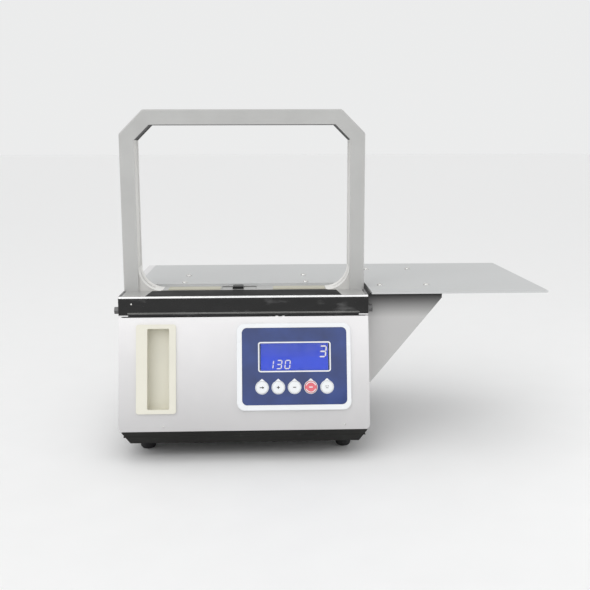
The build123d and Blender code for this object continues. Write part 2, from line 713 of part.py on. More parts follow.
with BuildPart() as table_bracket:
    with BuildSketch(Plane.XY.offset(deck_z - bracket_t)):
        with Locations((half_w + bracket_reach / 2, bracket_y0 + bracket_len / 2)):
            Rectangle(bracket_reach, bracket_len)
        with spots(*bracket_screws):
            Circle(screw_r, mode=Mode.SUBTRACT)
    extrude(amount=bracket_t)
    with BuildSketch(yz(half_w)):
        with Locations((bracket_y0 + bracket_len / 2, deck_z - bracket_skirt / 2)):
            Rectangle(bracket_len, bracket_skirt)
    extrude(amount=bracket_t)
    for y in (bracket_y0, bracket_y0 + bracket_len - bracket_t):
        with BuildSketch(xz(y)):
            with BuildLine():
                Polyline(
                    (half_w, deck_z), (half_w + bracket_reach, deck_z),
                    (half_w + bracket_reach, deck_z - bracket_nose),
                    (half_w + bracket_toe, deck_z - bracket_drop), (half_w, deck_z - bracket_drop),
                    close=True,
                )
            make_face()
        extrude(amount=-bracket_t)
    with BuildSketch(yz(half_w)):
        with Locations(*side_bolts):
            Circle(screw_r)
    extrude(amount=bracket_t, mode=Mode.SUBTRACT)
keep("table_bracket", table_bracket)

with BuildPart() as table_screws:
    with BuildSketch(Plane.XY.offset(table_top_z - screw_len)):
        with spots(*cover_screws, *bracket_screws):
            Circle(screw_r)
    extrude(amount=screw_len)
    with BuildSketch(Plane.XY.offset(table_top_z)):
        with spots(*cover_screws, *bracket_screws):
            Circle(screw_head_r)
    extrude(amount=-screw_head_h)
keep("table_screws", table_screws)

# ---- front door --------------------------------------------------------------------------------
box_w = recess_w + pull_undercut + 2 * pull_wall
box_h = recess_h + 2 * pull_wall
box_x = pull_x + recess_shift - pull_undercut / 2
aperture_w, aperture_h = overlay_w - 2 * bezel_ledge, overlay_h - 2 * bezel_ledge
with BuildPart() as front_door:
    with BuildSketch(face) as outline:
        with Locations((0, (door_gap + door_face) / 2)):
            Rectangle(body_w, door_face - door_gap)
        fillet(outline.vertices().group_by(Axis.Y)[0], door_corner)
    extrude(amount=-door_depth)
    with BuildSketch(face.offset(-door_t)):
        with Locations((0, (door_gap + door_face) / 2)):
            RectangleRounded(body_w - 2 * door_t, door_face - door_gap - 2 * door_t, door_corner - door_t)
    extrude(amount=-door_depth, mode=Mode.SUBTRACT)
    with BuildSketch(face):
        with Locations((overlay_x, overlay_up)):
            Rectangle(aperture_w, aperture_h)
        with Locations((box_x, pull_up)):
            Rectangle(box_w + 2 * fit_gap, box_h + 2 * fit_gap)
    extrude(amount=-door_depth, mode=Mode.SUBTRACT)
    # notches for the hinge tabs, and holes for the pins in the foot and the head
    for up in tab_ups:
        with BuildSketch(hinge_pin_plane(up + tab_t / 2 - notch_h / 2)):
            with Locations((pin_inset - notch_w / 2, 0)):
                Rectangle(notch_w + 2 * fit_gap, 2 * (pin_depth - door_t))
        extrude(amount=notch_h, mode=Mode.SUBTRACT)
    with BuildSketch(hinge_pin_plane(0)):
        Circle(pin_r + running)
    extrude(amount=door_face, mode=Mode.SUBTRACT)
keep("front_door", front_door)

with BuildPart() as door_hinge_pins:
    for start in (door_gap, door_face - tab_inset - tab_t):
        with BuildSketch(hinge_pin_plane(start)):
            Circle(pin_r)
        extrude(amount=tab_inset + tab_t - (door_gap if start == door_gap else 0))
keep("door_hinge_pins", door_hinge_pins)

with BuildPart() as door_magnet:
    with BuildSketch(face.offset(-door_depth - magnet_gap)):
        with Locations((magnet_w / 2 - inner_w, door_face / 2)):
            Rectangle(magnet_w, magnet_h)
    extrude(amount=-magnet_t)
keep("door_magnet", door_magnet)

with BuildPart() as door_pull:
    with BuildSketch(face):
        with Locations((pull_x, pull_up)):
            RectangleRounded(pull_w, pull_h, pull_round)
    extrude(amount=pull_t)
    with BuildSketch(face):
        with Locations((box_x, pull_up)):
            Rectangle(box_w, box_h)
    extrude(amount=-recess_depth)
    with BuildSketch(face.offset(pull_t)):
        with Locations((pull_x + recess_shift, pull_up)):
            RectangleRounded(recess_w, recess_h, pull_wall)
    extrude(amount=-(recess_depth + pull_t - pull_wall), mode=Mode.SUBTRACT)
    with BuildSketch(face.offset(pull_t - pull_lip)):
        with Locations((box_x, pull_up)):
            Rectangle(box_w - 2 * pull_wall, recess_h)
    extrude(amount=-(recess_depth + pull_t - pull_lip - pull_wall), mode=Mode.SUBTRACT)
keep("door_pull", door_pull)

# ---- control panel on the door -------------------------------------------------------------------
key_places = [(key_x + (i - (key_count - 1) / 2) * key_pitch, key_up) for i in range(key_count)]
with BuildPart() as panel_bezel:
    with BuildSketch(face):
        with Locations((bezel_x, bezel_up)):
            RectangleRounded(bezel_w, bezel_h, bezel_r)
        with Locations((overlay_x, overlay_up)):
            Rectangle(aperture_w, aperture_h, mode=Mode.SUBTRACT)
    extrude(amount=bezel_t)
    with BuildSketch(face.offset(bezel_floor)):
        with Locations((overlay_x, overlay_up)):
            RectangleRounded(overlay_w + fit_gap, overlay_h + fit_gap, overlay_r)
    extrude(amount=bezel_t, mode=Mode.SUBTRACT)
    bezel_fronts = panel_bezel.faces().filter_by(lambda f: f.normal_at().dot(face.z_dir) > 0.99)
    fillet(bezel_fronts.sort_by(Axis.Y)[0].outer_wire().edges(), bezel_edge)
keep("panel_bezel", panel_bezel)

with BuildPart() as panel_overlay:
    with BuildSketch(face.offset(bezel_floor)):
        with Locations((overlay_x, overlay_up)):
            RectangleRounded(overlay_w, overlay_h, overlay_r)
        with Locations((window_x, window_up)):
            RectangleRounded(window_w, window_h, window_r, mode=Mode.SUBTRACT)
        with spots(*key_places):
            Circle(key_d / 2 + key_gap, mode=Mode.SUBTRACT)
    extrude(amount=overlay_t)
keep("panel_overlay", panel_overlay)

with BuildPart() as display_window:
    with BuildSketch(face.offset(bezel_floor)):
        with Locations((window_x, window_up)):
            RectangleRounded(window_w, window_h, window_r)
    extrude(amount=overlay_t)
keep("display_window", display_window)

with BuildPart() as display_module:
    with BuildSketch(face.offset(bezel_floor)):
        with Locations((window_x, window_up)):
            Rectangle(window_w - 2 * module_end, window_h - 2 * module_side)
    extrude(amount=-(bezel_floor + board_depth))
keep("display_module", display_module)

key_flange_top = bezel_floor - 0.5
stem_gap = key_travel + 0.4      # between a key's stem and the board at rest
for name, (x, up) in zip(("key_feed", "key_longer", "key_shorter", "key_reset", "key_mode"), key_places):
    with BuildPart() as key:
        with BuildSketch(face.offset(key_flange_top)):
            with Locations((x, up)):
                Circle(key_d / 2)
        extrude(amount=bezel_floor + overlay_t + key_rise - key_flange_top)
        fillet(key.edges().sort_by(Axis.Y)[0], key_edge)
        with BuildSketch(face.offset(key_flange_top - key_flange_t)):
            with Locations((x, up)):
                Circle(key_d / 2 + key_flange)
        extrude(amount=key_flange_t)
        with BuildSketch(face.offset(stem_gap - board_depth)):
            with Locations((x, up)):
                Circle(key_stem_r)
        extrude(amount=board_depth - stem_gap + key_flange_top - key_flange_t)
    keep(name, key)

with BuildPart() as control_board:
    with BuildSketch(face.offset(-board_depth)):
        with Locations((bezel_x, bezel_up)):
            Rectangle(bezel_w - 2 * board_inset, bezel_h - 2 * board_inset)
    extrude(amount=-board_t)
    with BuildSketch(face.offset(-board_depth)):
        with Locations((bezel_x, bezel_up)):
            with GridLocations(bezel_w - 2 * standoff_inset, bezel_h - 2 * standoff_inset, 2, 2):
                Circle(standoff_r)
    extrude(amount=board_depth - door_t)
keep("control_board", control_board)

# ---- sealing head: three sliders lifted by cams --------------------------------------------------
mech_y0, mech_y1 = tape_y - mech_front, tape_y + mech_back
mech_foot_z = deck_under - mech_below
block_z1 = deck_under - block_below
block_z0 = block_z1 - block_h


def mech_plate(side):
    with BuildPart() as plate:
        with BuildSketch(yz(head_x + side * (mech_half - mech_t / 2))):
            with Locations(((mech_y0 + mech_y1) / 2, (deck_under + mech_foot_z) / 2)):
                Rectangle(mech_y1 - mech_y0, deck_under - mech_foot_z)
            with Locations(((deck_back_y + mech_y1) / 2, deck_under - mech_relief / 2)):
                Rectangle(mech_y1 - deck_back_y, mech_relief, mode=Mode.SUBTRACT)
            with Locations((tape_y, cam_z)):
                Circle(shaft_r + running, mode=Mode.SUBTRACT)
            with Locations((pinion_y, cam_z)):
                Circle(pinion_shaft_r + running, mode=Mode.SUBTRACT)
        extrude(amount=side * mech_t)
    return plate


plate_left = mech_plate(-1).part
plate_right = mech_plate(1).part
with BuildPart() as mech_plates:
    add(plate_left)
    add(plate_right)
keep("mech_plates", mech_plates)
plate_inner = mech_half - mech_t / 2

rod_front, rod_back = mech_y0 + tie_rod_inset, mech_y1 - tie_rod_inset
rod_low, rod_high = mech_foot_z + tie_rod_rise, deck_under - tie_rod_fall
with BuildPart() as tie_rods:
    with BuildSketch(yz(head_x - plate_inner)):
        with Locations((rod_front, rod_low), (rod_back, rod_low), (rod_back, rod_high)):
            Circle(tie_rod_r)
    extrude(amount=2 * plate_inner)
keep("tie_rods", tie_rods)

slider_xs = [head_x + i * slider_pitch for i in (-1, 0, 1)]
with BuildPart() as head_block:
    with BuildSketch(Plane.XY.offset(block_z0)):
        with Locations((head_x, tape_y)):
            Rectangle(2 * plate_inner, slider_d + 2 * block_wall)
        for x in slider_xs:
            with Locations((x, tape_y)):
                Rectangle(slider_w + 2 * slider_gap, slider_d + 2 * slider_gap, mode=Mode.SUBTRACT)
    extrude(amount=block_z1 - block_z0)
keep("head_block", head_block)

for name, x in zip(("gripper_left", "press_and_cutter", "gripper_right"), slider_xs):
    with BuildPart() as slider:
        with BuildSketch(Plane.XY.offset(follower_z)):
            with Locations((x, tape_y)):
                Rectangle(slider_w, slider_d)
        extrude(amount=slider_top_z - follower_z)
        with BuildSketch(yz(x - slider_w / 2)):
            with Locations((tape_y, follower_z)):
                Circle(follower_r)
        extrude(amount=slider_w)
        for groove in groove_places:
            with BuildSketch(xz(tape_y + groove)):
                with Locations((x, slider_top_z)):
                    Rectangle(slider_w, 2 * groove_deep)
            extrude(amount=-groove_w, mode=Mode.SUBTRACT)
    keep(name, slider)


def cam_radius(turn):
    """Constant rise, dwell, fall, then the base circle; turn is in degrees."""
    top = cam_base_r + slider_lift
    if turn <= cam_turn:
        return cam_base_r + cam_rise * radians(turn)
    if turn <= dwell_to:
        return top
    if turn <= base_from:
        return top - slider_lift * (turn - dwell_to) / (base_from - dwell_to)
    return cam_base_r


def gear_teeth_profile(count, first_angle):
    """Trapezoid teeth on the pitch circle, with clearance for the backlash."""
    pitch_r = gear_module * count / 2
    root_r, tip_r = pitch_r - 1.3 * gear_module, pitch_r + 0.85 * gear_module
    half_pitch = (pi * gear_module / 2 - gear_backlash) / 2
    lean = tan(radians(20))
    points = []
    for i in range(count):
        middle = radians(first_angle + 360 * i / count)
        for r, sign in ((root_r, -1), (tip_r, -1), (tip_r, 1), (root_r, 1)):
            half = (half_pitch - (r - pitch_r) * lean) / r
            points.append((r * cos(middle + sign * half), r * sin(middle + sign * half)))
    return points


cam_points = [(cam_radius(a) * sin(radians(a)), cam_radius(a) * cos(radians(a))) for a in range(0, 360, 10)]
shaft_end = plate_inner + mech_t + shaft_over
gear_x = head_x + slider_pitch + cam_w / 2 + gear_space
with BuildPart() as camshaft:
    with BuildSketch(yz(head_x - shaft_end)):
        with Locations((tape_y, cam_z)):
            Circle(shaft_r)
    extrude(amount=2 * shaft_end)
    for x in slider_xs:
        with BuildSketch(Plane(origin=(x - cam_w / 2, tape_y, cam_z), x_dir=(0, 1, 0), z_dir=(1, 0, 0))):
            with BuildLine():
                Spline(*cam_points, periodic=True)
            make_face()
        extrude(amount=cam_w)
keep("camshaft", camshaft)

with BuildPart() as cam_gear:
    with BuildSketch(yz(gear_x)):
        with Locations((tape_y, cam_z)):
            Polygon(*gear_teeth_profile(gear_teeth, 0), align=None)
            Circle(shaft_r, mode=Mode.SUBTRACT)
    extrude(amount=gear_w)
keep("cam_gear", cam_gear)

motor_x = head_x + plate_inner + mech_t
with BuildPart() as main_pinion:
    with BuildSketch(yz(gear_x - pinion_over)):
        with Locations((pinion_y, cam_z)):
            Polygon(*gear_teeth_profile(pinion_teeth, 180 + 180 / pinion_teeth), align=None)
    extrude(amount=gear_w + 2 * pinion_over)
    with BuildSketch(yz(gear_x)):
        with Locations((pinion_y, cam_z)):
            Circle(pinion_shaft_r)
    extrude(amount=motor_x + motor_shaft_in - gear_x)
keep("main_pinion", main_pinion)

with BuildPart() as main_motor:
    with BuildSketch(yz(motor_x)):
        with Locations((pinion_y, cam_z)):
            Circle(gearbox_r)
    extrude(amount=gearbox_len)
    with BuildSketch(yz(motor_x + gearbox_len)):
        with Locations((pinion_y, cam_z)):
            Circle(motor_r)
    extrude(amount=motor_len)
    with BuildSketch(yz(motor_x)):
        with Locations((pinion_y, cam_z)):
            Circle(pinion_shaft_r + running)
    extrude(amount=motor_shaft_in + motor_shaft_end, mode=Mode.SUBTRACT)
keep("main_motor", main_motor)

# ---- feed rollers --------------------------------------------------------------------------------
feed_plate_y = tape_y - feed_w / 2 - feed_plate_gap - feed_plate_t
with BuildPart() as feed_plate:
    with BuildSketch(xz(feed_plate_y)):
        with Locations(((feed_x + pinch_x) / 2, (deck_under + feed_z - feed_plate_under) / 2)):
            Rectangle(pinch_x - feed_x + 2 * feed_plate_side, deck_under - feed_z + feed_plate_under)
        with Locations((feed_x, feed_z), (pinch_x, feed_z)):
            Circle(feed_shaft_r + running, mode=Mode.SUBTRACT)
    extrude(amount=-feed_plate_t)
keep("feed_plate", feed_plate)

for name, x, r, shaft_out in (
    ("feed_roller", feed_x, feed_r, motor_shaft_in),
    ("pinch_roller", pinch_x, pinch_r, pinch_shaft_out),
):
    with BuildPart() as roller:
        with BuildSketch(xz(tape_y - feed_w / 2)):
            with Locations((x, feed_z)):
                Circle(r)
        extrude(amount=-feed_w)
        chamfer(roller.edges(), roller_bevel)
        with BuildSketch(xz(feed_plate_y - shaft_out)):
            with Locations((x, feed_z)):
                Circle(feed_shaft_r)
        extrude(amount=-(shaft_out + feed_plate_t + feed_plate_gap))
    keep(name, roller)

with BuildPart() as feed_motor:
    with BuildSketch(xz(feed_plate_y)):
        with Locations((feed_x, feed_z)):
            Circle(feed_motor_r)
    extrude(amount=feed_motor_len)
    with BuildSketch(xz(feed_plate_y)):
        with Locations((feed_x, feed_z)):
            Circle(feed_shaft_r + running)
    extrude(amount=motor_shaft_in + motor_shaft_end, mode=Mode.SUBTRACT)
keep("feed_motor", feed_motor)

# ---- tape reel -----------------------------------------------------------------------------------
reel_half = tape_w / 2 + flange_t
reel_arm_x = reel_half + reel_arm_gap
reel_bearing_r = reel_shaft_r + running
with BuildPart() as reel_bracket:
    with BuildSketch(Plane.XY.offset(floor_z)):
        with Locations((reel_x, reel_y)):
            Rectangle(2 * (reel_arm_x + reel_arm_t), reel_foot_d)
    extrude(amount=reel_foot_t)
    for side in (-1, 1):
        with BuildSketch(yz(reel_x + side * reel_arm_x)):
            with Locations((reel_y, (floor_z + reel_z + reel_arm_over) / 2)):
                Rectangle(reel_arm_w, reel_z + reel_arm_over - floor_z)
            with Locations((reel_y, reel_z)):
                mouth = (Align.CENTER, Align.MIN)
                Rectangle(2 * reel_bearing_r, reel_arm_over, align=mouth, mode=Mode.SUBTRACT)
                Circle(reel_bearing_r, mode=Mode.SUBTRACT)
        extrude(amount=side * reel_arm_t)
keep("reel_bracket", reel_bracket)

shaft_half = reel_arm_x + reel_arm_t + reel_shaft_over
with BuildPart() as reel_shaft:
    with BuildSketch(yz(reel_x - shaft_half)):
        with Locations((reel_y, reel_z)):
            Circle(reel_shaft_r)
    extrude(amount=2 * shaft_half)
keep("reel_shaft", reel_shaft)


def reel_disc(side, inner_r):
    with BuildPart() as disc:
        with BuildSketch(yz(reel_x + side * tape_w / 2)):
            with Locations((reel_y, reel_z)):
                Circle(flange_r)
                with PolarLocations(flange_hole_at, flange_holes):
                    Circle(flange_hole_r, mode=Mode.SUBTRACT)
                Circle(inner_r, mode=Mode.SUBTRACT)
        extrude(amount=side * flange_t)
        if side < 0:
            with BuildSketch(yz(reel_x - tape_w / 2)):
                with Locations((reel_y, reel_z)):
                    Circle(hub_r)
                    Circle(inner_r, mode=Mode.SUBTRACT)
            extrude(amount=tape_w)
    return disc


keep("reel_hub", reel_disc(-1, reel_shaft_r))
keep("reel_flange", reel_disc(1, reel_shaft_r))

with BuildPart() as tape_roll:
    with BuildSketch(yz(reel_x - tape_w / 2)):
        with Locations((reel_y, reel_z)):
            Circle(tape_r)
            Circle(hub_r, mode=Mode.SUBTRACT)
    extrude(amount=tape_w)
keep("tape_roll", tape_roll)

# ---- power -----------------------------------------------------------------------------------------
core_x, core_y = half_w - supply_side, rear_y - supply_behind
with BuildPart() as transformer_core:
    with BuildSketch(xz(core_y)):
        with Locations((core_x, floor_z + core_h / 2)):
            Rectangle(core_w, core_h)
            with Locations((-core_slot_at, 0), (core_slot_at, 0)):
                Rectangle(core_slot_w, core_slot_h, mode=Mode.SUBTRACT)
    extrude(amount=-core_d)
keep("transformer_core", transformer_core)

with BuildPart() as transformer_coil:
    with BuildSketch(Plane.XY.offset(floor_z + (core_h - core_slot_h) / 2)):
        with Locations((core_x, core_y + core_d / 2)):
            RectangleRounded(coil_w, coil_d, coil_round)
            Rectangle(2 * core_slot_at - core_slot_w, core_d, mode=Mode.SUBTRACT)
    extrude(amount=core_slot_h)
keep("transformer_coil", transformer_coil)

board_x = half_w - board_side - power_board_w / 2
power_board_top = floor_z + power_board_up + board_t
with BuildPart() as power_board:
    with BuildSketch(Plane.XY.offset(floor_z + power_board_up)):
        with Locations((board_x, power_board_y)):
            Rectangle(power_board_w, power_board_d)
    extrude(amount=board_t)
    with BuildSketch(Plane.XY.offset(floor_z)):
        with Locations((board_x, power_board_y)):
            with GridLocations(power_board_w - 2 * post_inset, power_board_d - 2 * post_inset, 2, 2):
                Circle(post_r)
    extrude(amount=power_board_up)
    with BuildSketch(Plane.XY.offset(power_board_top)):
        with Locations(*[(board_x + along, power_board_y) for along in can_places]):
            Circle(can_r)
        with Locations((board_x + sink_at, power_board_y)):
            Rectangle(sink_w, sink_d)
    extrude(amount=can_h)
keep("power_board", power_board)

with BuildPart() as power_inlet:
    with BuildSketch(xz(rear_y)):
        with Locations((inlet_x, inlet_z)):
            RectangleRounded(inlet_flange_w, inlet_flange_h, inlet_flange_t)
    extrude(amount=-inlet_flange_t)
    with BuildSketch(xz(rear_y)):
        with Locations((inlet_x, inlet_z)):
            Rectangle(inlet_w, inlet_h)
    extrude(amount=inlet_len)
    with BuildSketch(xz(rear_y + inlet_flange_t)) as socket:
        with Locations((inlet_x, inlet_z)):
            Rectangle(socket_w, socket_h)
        chamfer(socket.vertices().group_by(Axis.Y)[-1], socket_bevel)
    extrude(amount=inlet_flange_t + inlet_well, mode=Mode.SUBTRACT)
    with BuildSketch(xz(rear_y)):
        with Locations((inlet_x, inlet_z)):
            with Locations((-contact_pitch, contact_low), (0, contact_high), (contact_pitch, contact_low)):
                Rectangle(contact_w, contact_h)
    extrude(amount=inlet_well)
keep("power_inlet", power_inlet)

well_w, well_h = 2 * (rocker_r + rocker_gap), rocker_h + 2 * rocker_gap
rocker_pivot_y = rear_y - rocker_pivot
with BuildPart() as switch_housing:
    with BuildSketch(xz(rear_y)):
        with Locations((switch_x, switch_z)):
            RectangleRounded(switch_flange_w, switch_flange_h, switch_flange_t)
    extrude(amount=-switch_flange_t)
    with BuildSketch(xz(rear_y)):
        with Locations((switch_x, switch_z)):
            Rectangle(switch_w, switch_h)
    extrude(amount=switch_len)
    with BuildSketch(xz(rear_y + switch_flange_t)):
        with Locations((switch_x, switch_z)):
            Rectangle(well_w, well_h)
    extrude(amount=switch_len, mode=Mode.SUBTRACT)
keep("switch_housing", switch_housing)

# a disc cut flat on both sides of its pivot, turned half its swing
with BuildPart() as switch_rocker:
    with BuildSketch(Plane.XY.offset(switch_z - rocker_h / 2)):
        with Locations(Location((switch_x, rocker_pivot_y, 0), (0, 0, -rocker_swing / 2))):
            Circle(rocker_r)
            with Locations((0, -rocker_r - rocker_back)):
                Rectangle(4 * rocker_r, 2 * rocker_r, mode=Mode.SUBTRACT)
            with Locations((0, rocker_r + rocker_front)):
                Rectangle(4 * rocker_r, 2 * rocker_r, mode=Mode.SUBTRACT)
    extrude(amount=rocker_h)
keep("switch_rocker", switch_rocker)

# ---- export ------------------------------------------------------------------------------------
os.makedirs("parts", exist_ok=True)
for name, part in parts.items():
    export_step(part, f"parts/{name}.step")
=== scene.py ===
"""Looks of the tabletop banding machine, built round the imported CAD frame. Lengths are in metres."""
import json
import math

import bmesh
import bpy
from mathutils import Matrix, Vector


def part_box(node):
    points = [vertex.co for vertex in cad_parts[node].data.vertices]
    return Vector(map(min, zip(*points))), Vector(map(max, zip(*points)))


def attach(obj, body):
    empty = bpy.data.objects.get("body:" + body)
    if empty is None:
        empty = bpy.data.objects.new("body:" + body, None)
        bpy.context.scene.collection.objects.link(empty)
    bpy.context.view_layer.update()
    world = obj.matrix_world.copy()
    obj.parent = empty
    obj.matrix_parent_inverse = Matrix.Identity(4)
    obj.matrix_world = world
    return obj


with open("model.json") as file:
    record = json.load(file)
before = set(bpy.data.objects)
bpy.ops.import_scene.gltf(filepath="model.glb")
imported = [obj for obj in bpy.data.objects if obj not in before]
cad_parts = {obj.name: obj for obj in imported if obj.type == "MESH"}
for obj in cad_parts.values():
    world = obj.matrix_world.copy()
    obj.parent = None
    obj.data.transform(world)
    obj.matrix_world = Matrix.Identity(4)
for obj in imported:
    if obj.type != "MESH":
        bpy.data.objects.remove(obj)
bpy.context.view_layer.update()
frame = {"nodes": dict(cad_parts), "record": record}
MM = 0.001
RAIL_BEVEL = 1.8      # millimetres, as in the CAD rail

joints = {j["name"]: j for j in frame["record"]["behaviour"]["joints"]}
X = Vector((1, 0, 0))
Y = Vector((0, 1, 0))
Z = Vector((0, 0, 1))
UP = Vector(joints["door_swing"]["axis"]).normalized()   # up the door's slanted face
OUT = X.cross(UP).normalized()                           # out of the door's face
if OUT.y > 0:
    OUT = -OUT


def span(node, direction):
    """Lowest and highest reach of a CAD node along a direction."""
    reach = [v.co.dot(direction) for v in frame["nodes"][node].data.vertices]
    return min(reach), max(reach)


def middle(node, direction):
    """Middle of a CAD node along a direction."""
    low, high = span(node, direction)
    return (low + high) / 2


# ---- materials ---------------------------------------------------------------------------------
def surface(name, color, rough, metal=0.0, mottle=0.05, mottle_mm=40.0, grain=0.05, grain_mm=0.8,
            stretch=(1, 1, 1), coat=0.0, rough_swing=0.06, marks=0.0, marks_mm=6.0, specular=0.5, tone_ramp=None):
    """A moulded, painted or metal surface: drifting colour and gloss, a fine relief and faint marks.

    tone_ramp is (axis, low place, high place, share of the colour at the low place, share at the high place);
    the door, the bracket and the corner guides use it for painted shade.
    """
    material = bpy.data.materials.new(name)
    material.use_nodes = True
    nodes, links = material.node_tree.nodes, material.node_tree.links
    shader = nodes["Principled BSDF"]
    shader.inputs["Metallic"].default_value = metal
    shader.inputs["Coat Weight"].default_value = coat
    shader.inputs["Specular IOR Level"].default_value = specular
    shader.inputs["Coat Roughness"].default_value = 0.05
    coords = nodes.new("ShaderNodeTexCoord")
    mapping = nodes.new("ShaderNodeMapping")
    mapping.inputs["Scale"].default_value = stretch
    links.new(coords.outputs["Object"], mapping.inputs["Vector"])

    def noise(size_mm, detail):
        node = nodes.new("ShaderNodeTexNoise")
        node.inputs["Scale"].default_value = 1000.0 / size_mm
        node.inputs["Detail"].default_value = detail
        links.new(mapping.outputs["Vector"], node.inputs["Vector"])
        return node.outputs["Fac"]

    def remap(source, low, high, start=0.3, end=0.7):
        node = nodes.new("ShaderNodeMapRange")
        node.inputs["From Min"].default_value = start
        node.inputs["From Max"].default_value = end
        node.inputs["To Min"].default_value = low
        node.inputs["To Max"].default_value = high
        links.new(source, node.inputs["Value"])
        return node.outputs["Result"]

    drift = noise(mottle_mm, 3)
    tint = nodes.new("ShaderNodeMix")
    tint.data_type = "RGBA"
    tint.inputs["A"].default_value = (*[c * (1 - mottle) for c in color], 1)
    tint.inputs["B"].default_value = (*[min(1, c * (1 + mottle)) for c in color], 1)
    links.new(remap(drift, 0, 1), tint.inputs["Factor"])
    base = tint.outputs["Result"]
    if marks:
        worn = nodes.new("ShaderNodeMix")
        worn.data_type = "RGBA"
        worn.inputs["B"].default_value = (*[c + (0.5 - c) * 0.45 for c in color], 1)
        links.new(base, worn.inputs["A"])
        links.new(remap(noise(marks_mm, 8), 0, marks, 0.60, 0.75), worn.inputs["Factor"])
        base = worn.outputs["Result"]
    # a ramp of the colour along one axis; on the door, the bracket and the corner guides it is painted shade
    if tone_ramp:
        axis, low, high, low_share, high_share = tone_ramp
        place = nodes.new("ShaderNodeSeparateXYZ")
        links.new(coords.outputs["Object"], place.inputs["Vector"])
        shade = remap(place.outputs[axis], low_share, high_share, low, high)
        toned = nodes.new("ShaderNodeVectorMath")
        toned.operation = "SCALE"
        links.new(base, toned.inputs[0])
        links.new(shade, toned.inputs["Scale"])
        base = toned.outputs["Vector"]
    links.new(base, shader.inputs["Base Color"])
    links.new(remap(drift, max(0.02, rough - rough_swing), rough + rough_swing), shader.inputs["Roughness"])
    bump = nodes.new("ShaderNodeBump")
    bump.inputs["Strength"].default_value = grain
    bump.inputs["Distance"].default_value = 0.0002
    links.new(noise(grain_mm, 4), bump.inputs["Height"])
    links.new(bump.outputs["Normal"], shader.inputs["Normal"])
    return material


def banded(name, color, rough, pitch_mm, direction, strength=0.5, metal=0.0, rings=False):
    """A surface with fine parallel lines, as on a wound roll, a coil or a stack of laminations."""
    material = surface(name, color, rough, metal, grain=0.02)
    nodes, links = material.node_tree.nodes, material.node_tree.links
    wave = nodes.new("ShaderNodeTexWave")
    wave.wave_type = "RINGS" if rings else "BANDS"
    if rings:
        wave.rings_direction = direction
    else:
        wave.bands_direction = direction
    wave.inputs["Scale"].default_value = 1000.0 / pitch_mm / 20.0
    wave.inputs["Distortion"].default_value = 0.6
    coords = nodes.new("ShaderNodeTexCoord")
    mapping = nodes.new("ShaderNodeMapping")
    links.new(coords.outputs["Object"], mapping.inputs["Vector"])
    links.new(mapping.outputs["Vector"], wave.inputs["Vector"])
    bump = nodes.new("ShaderNodeBump")
    bump.inputs["Strength"].default_value = strength
    bump.inputs["Distance"].default_value = 0.0003
    links.new(wave.outputs["Fac"], bump.inputs["Height"])
    links.new(bump.outputs["Normal"], nodes["Principled BSDF"].inputs["Normal"])
    return material, mapping


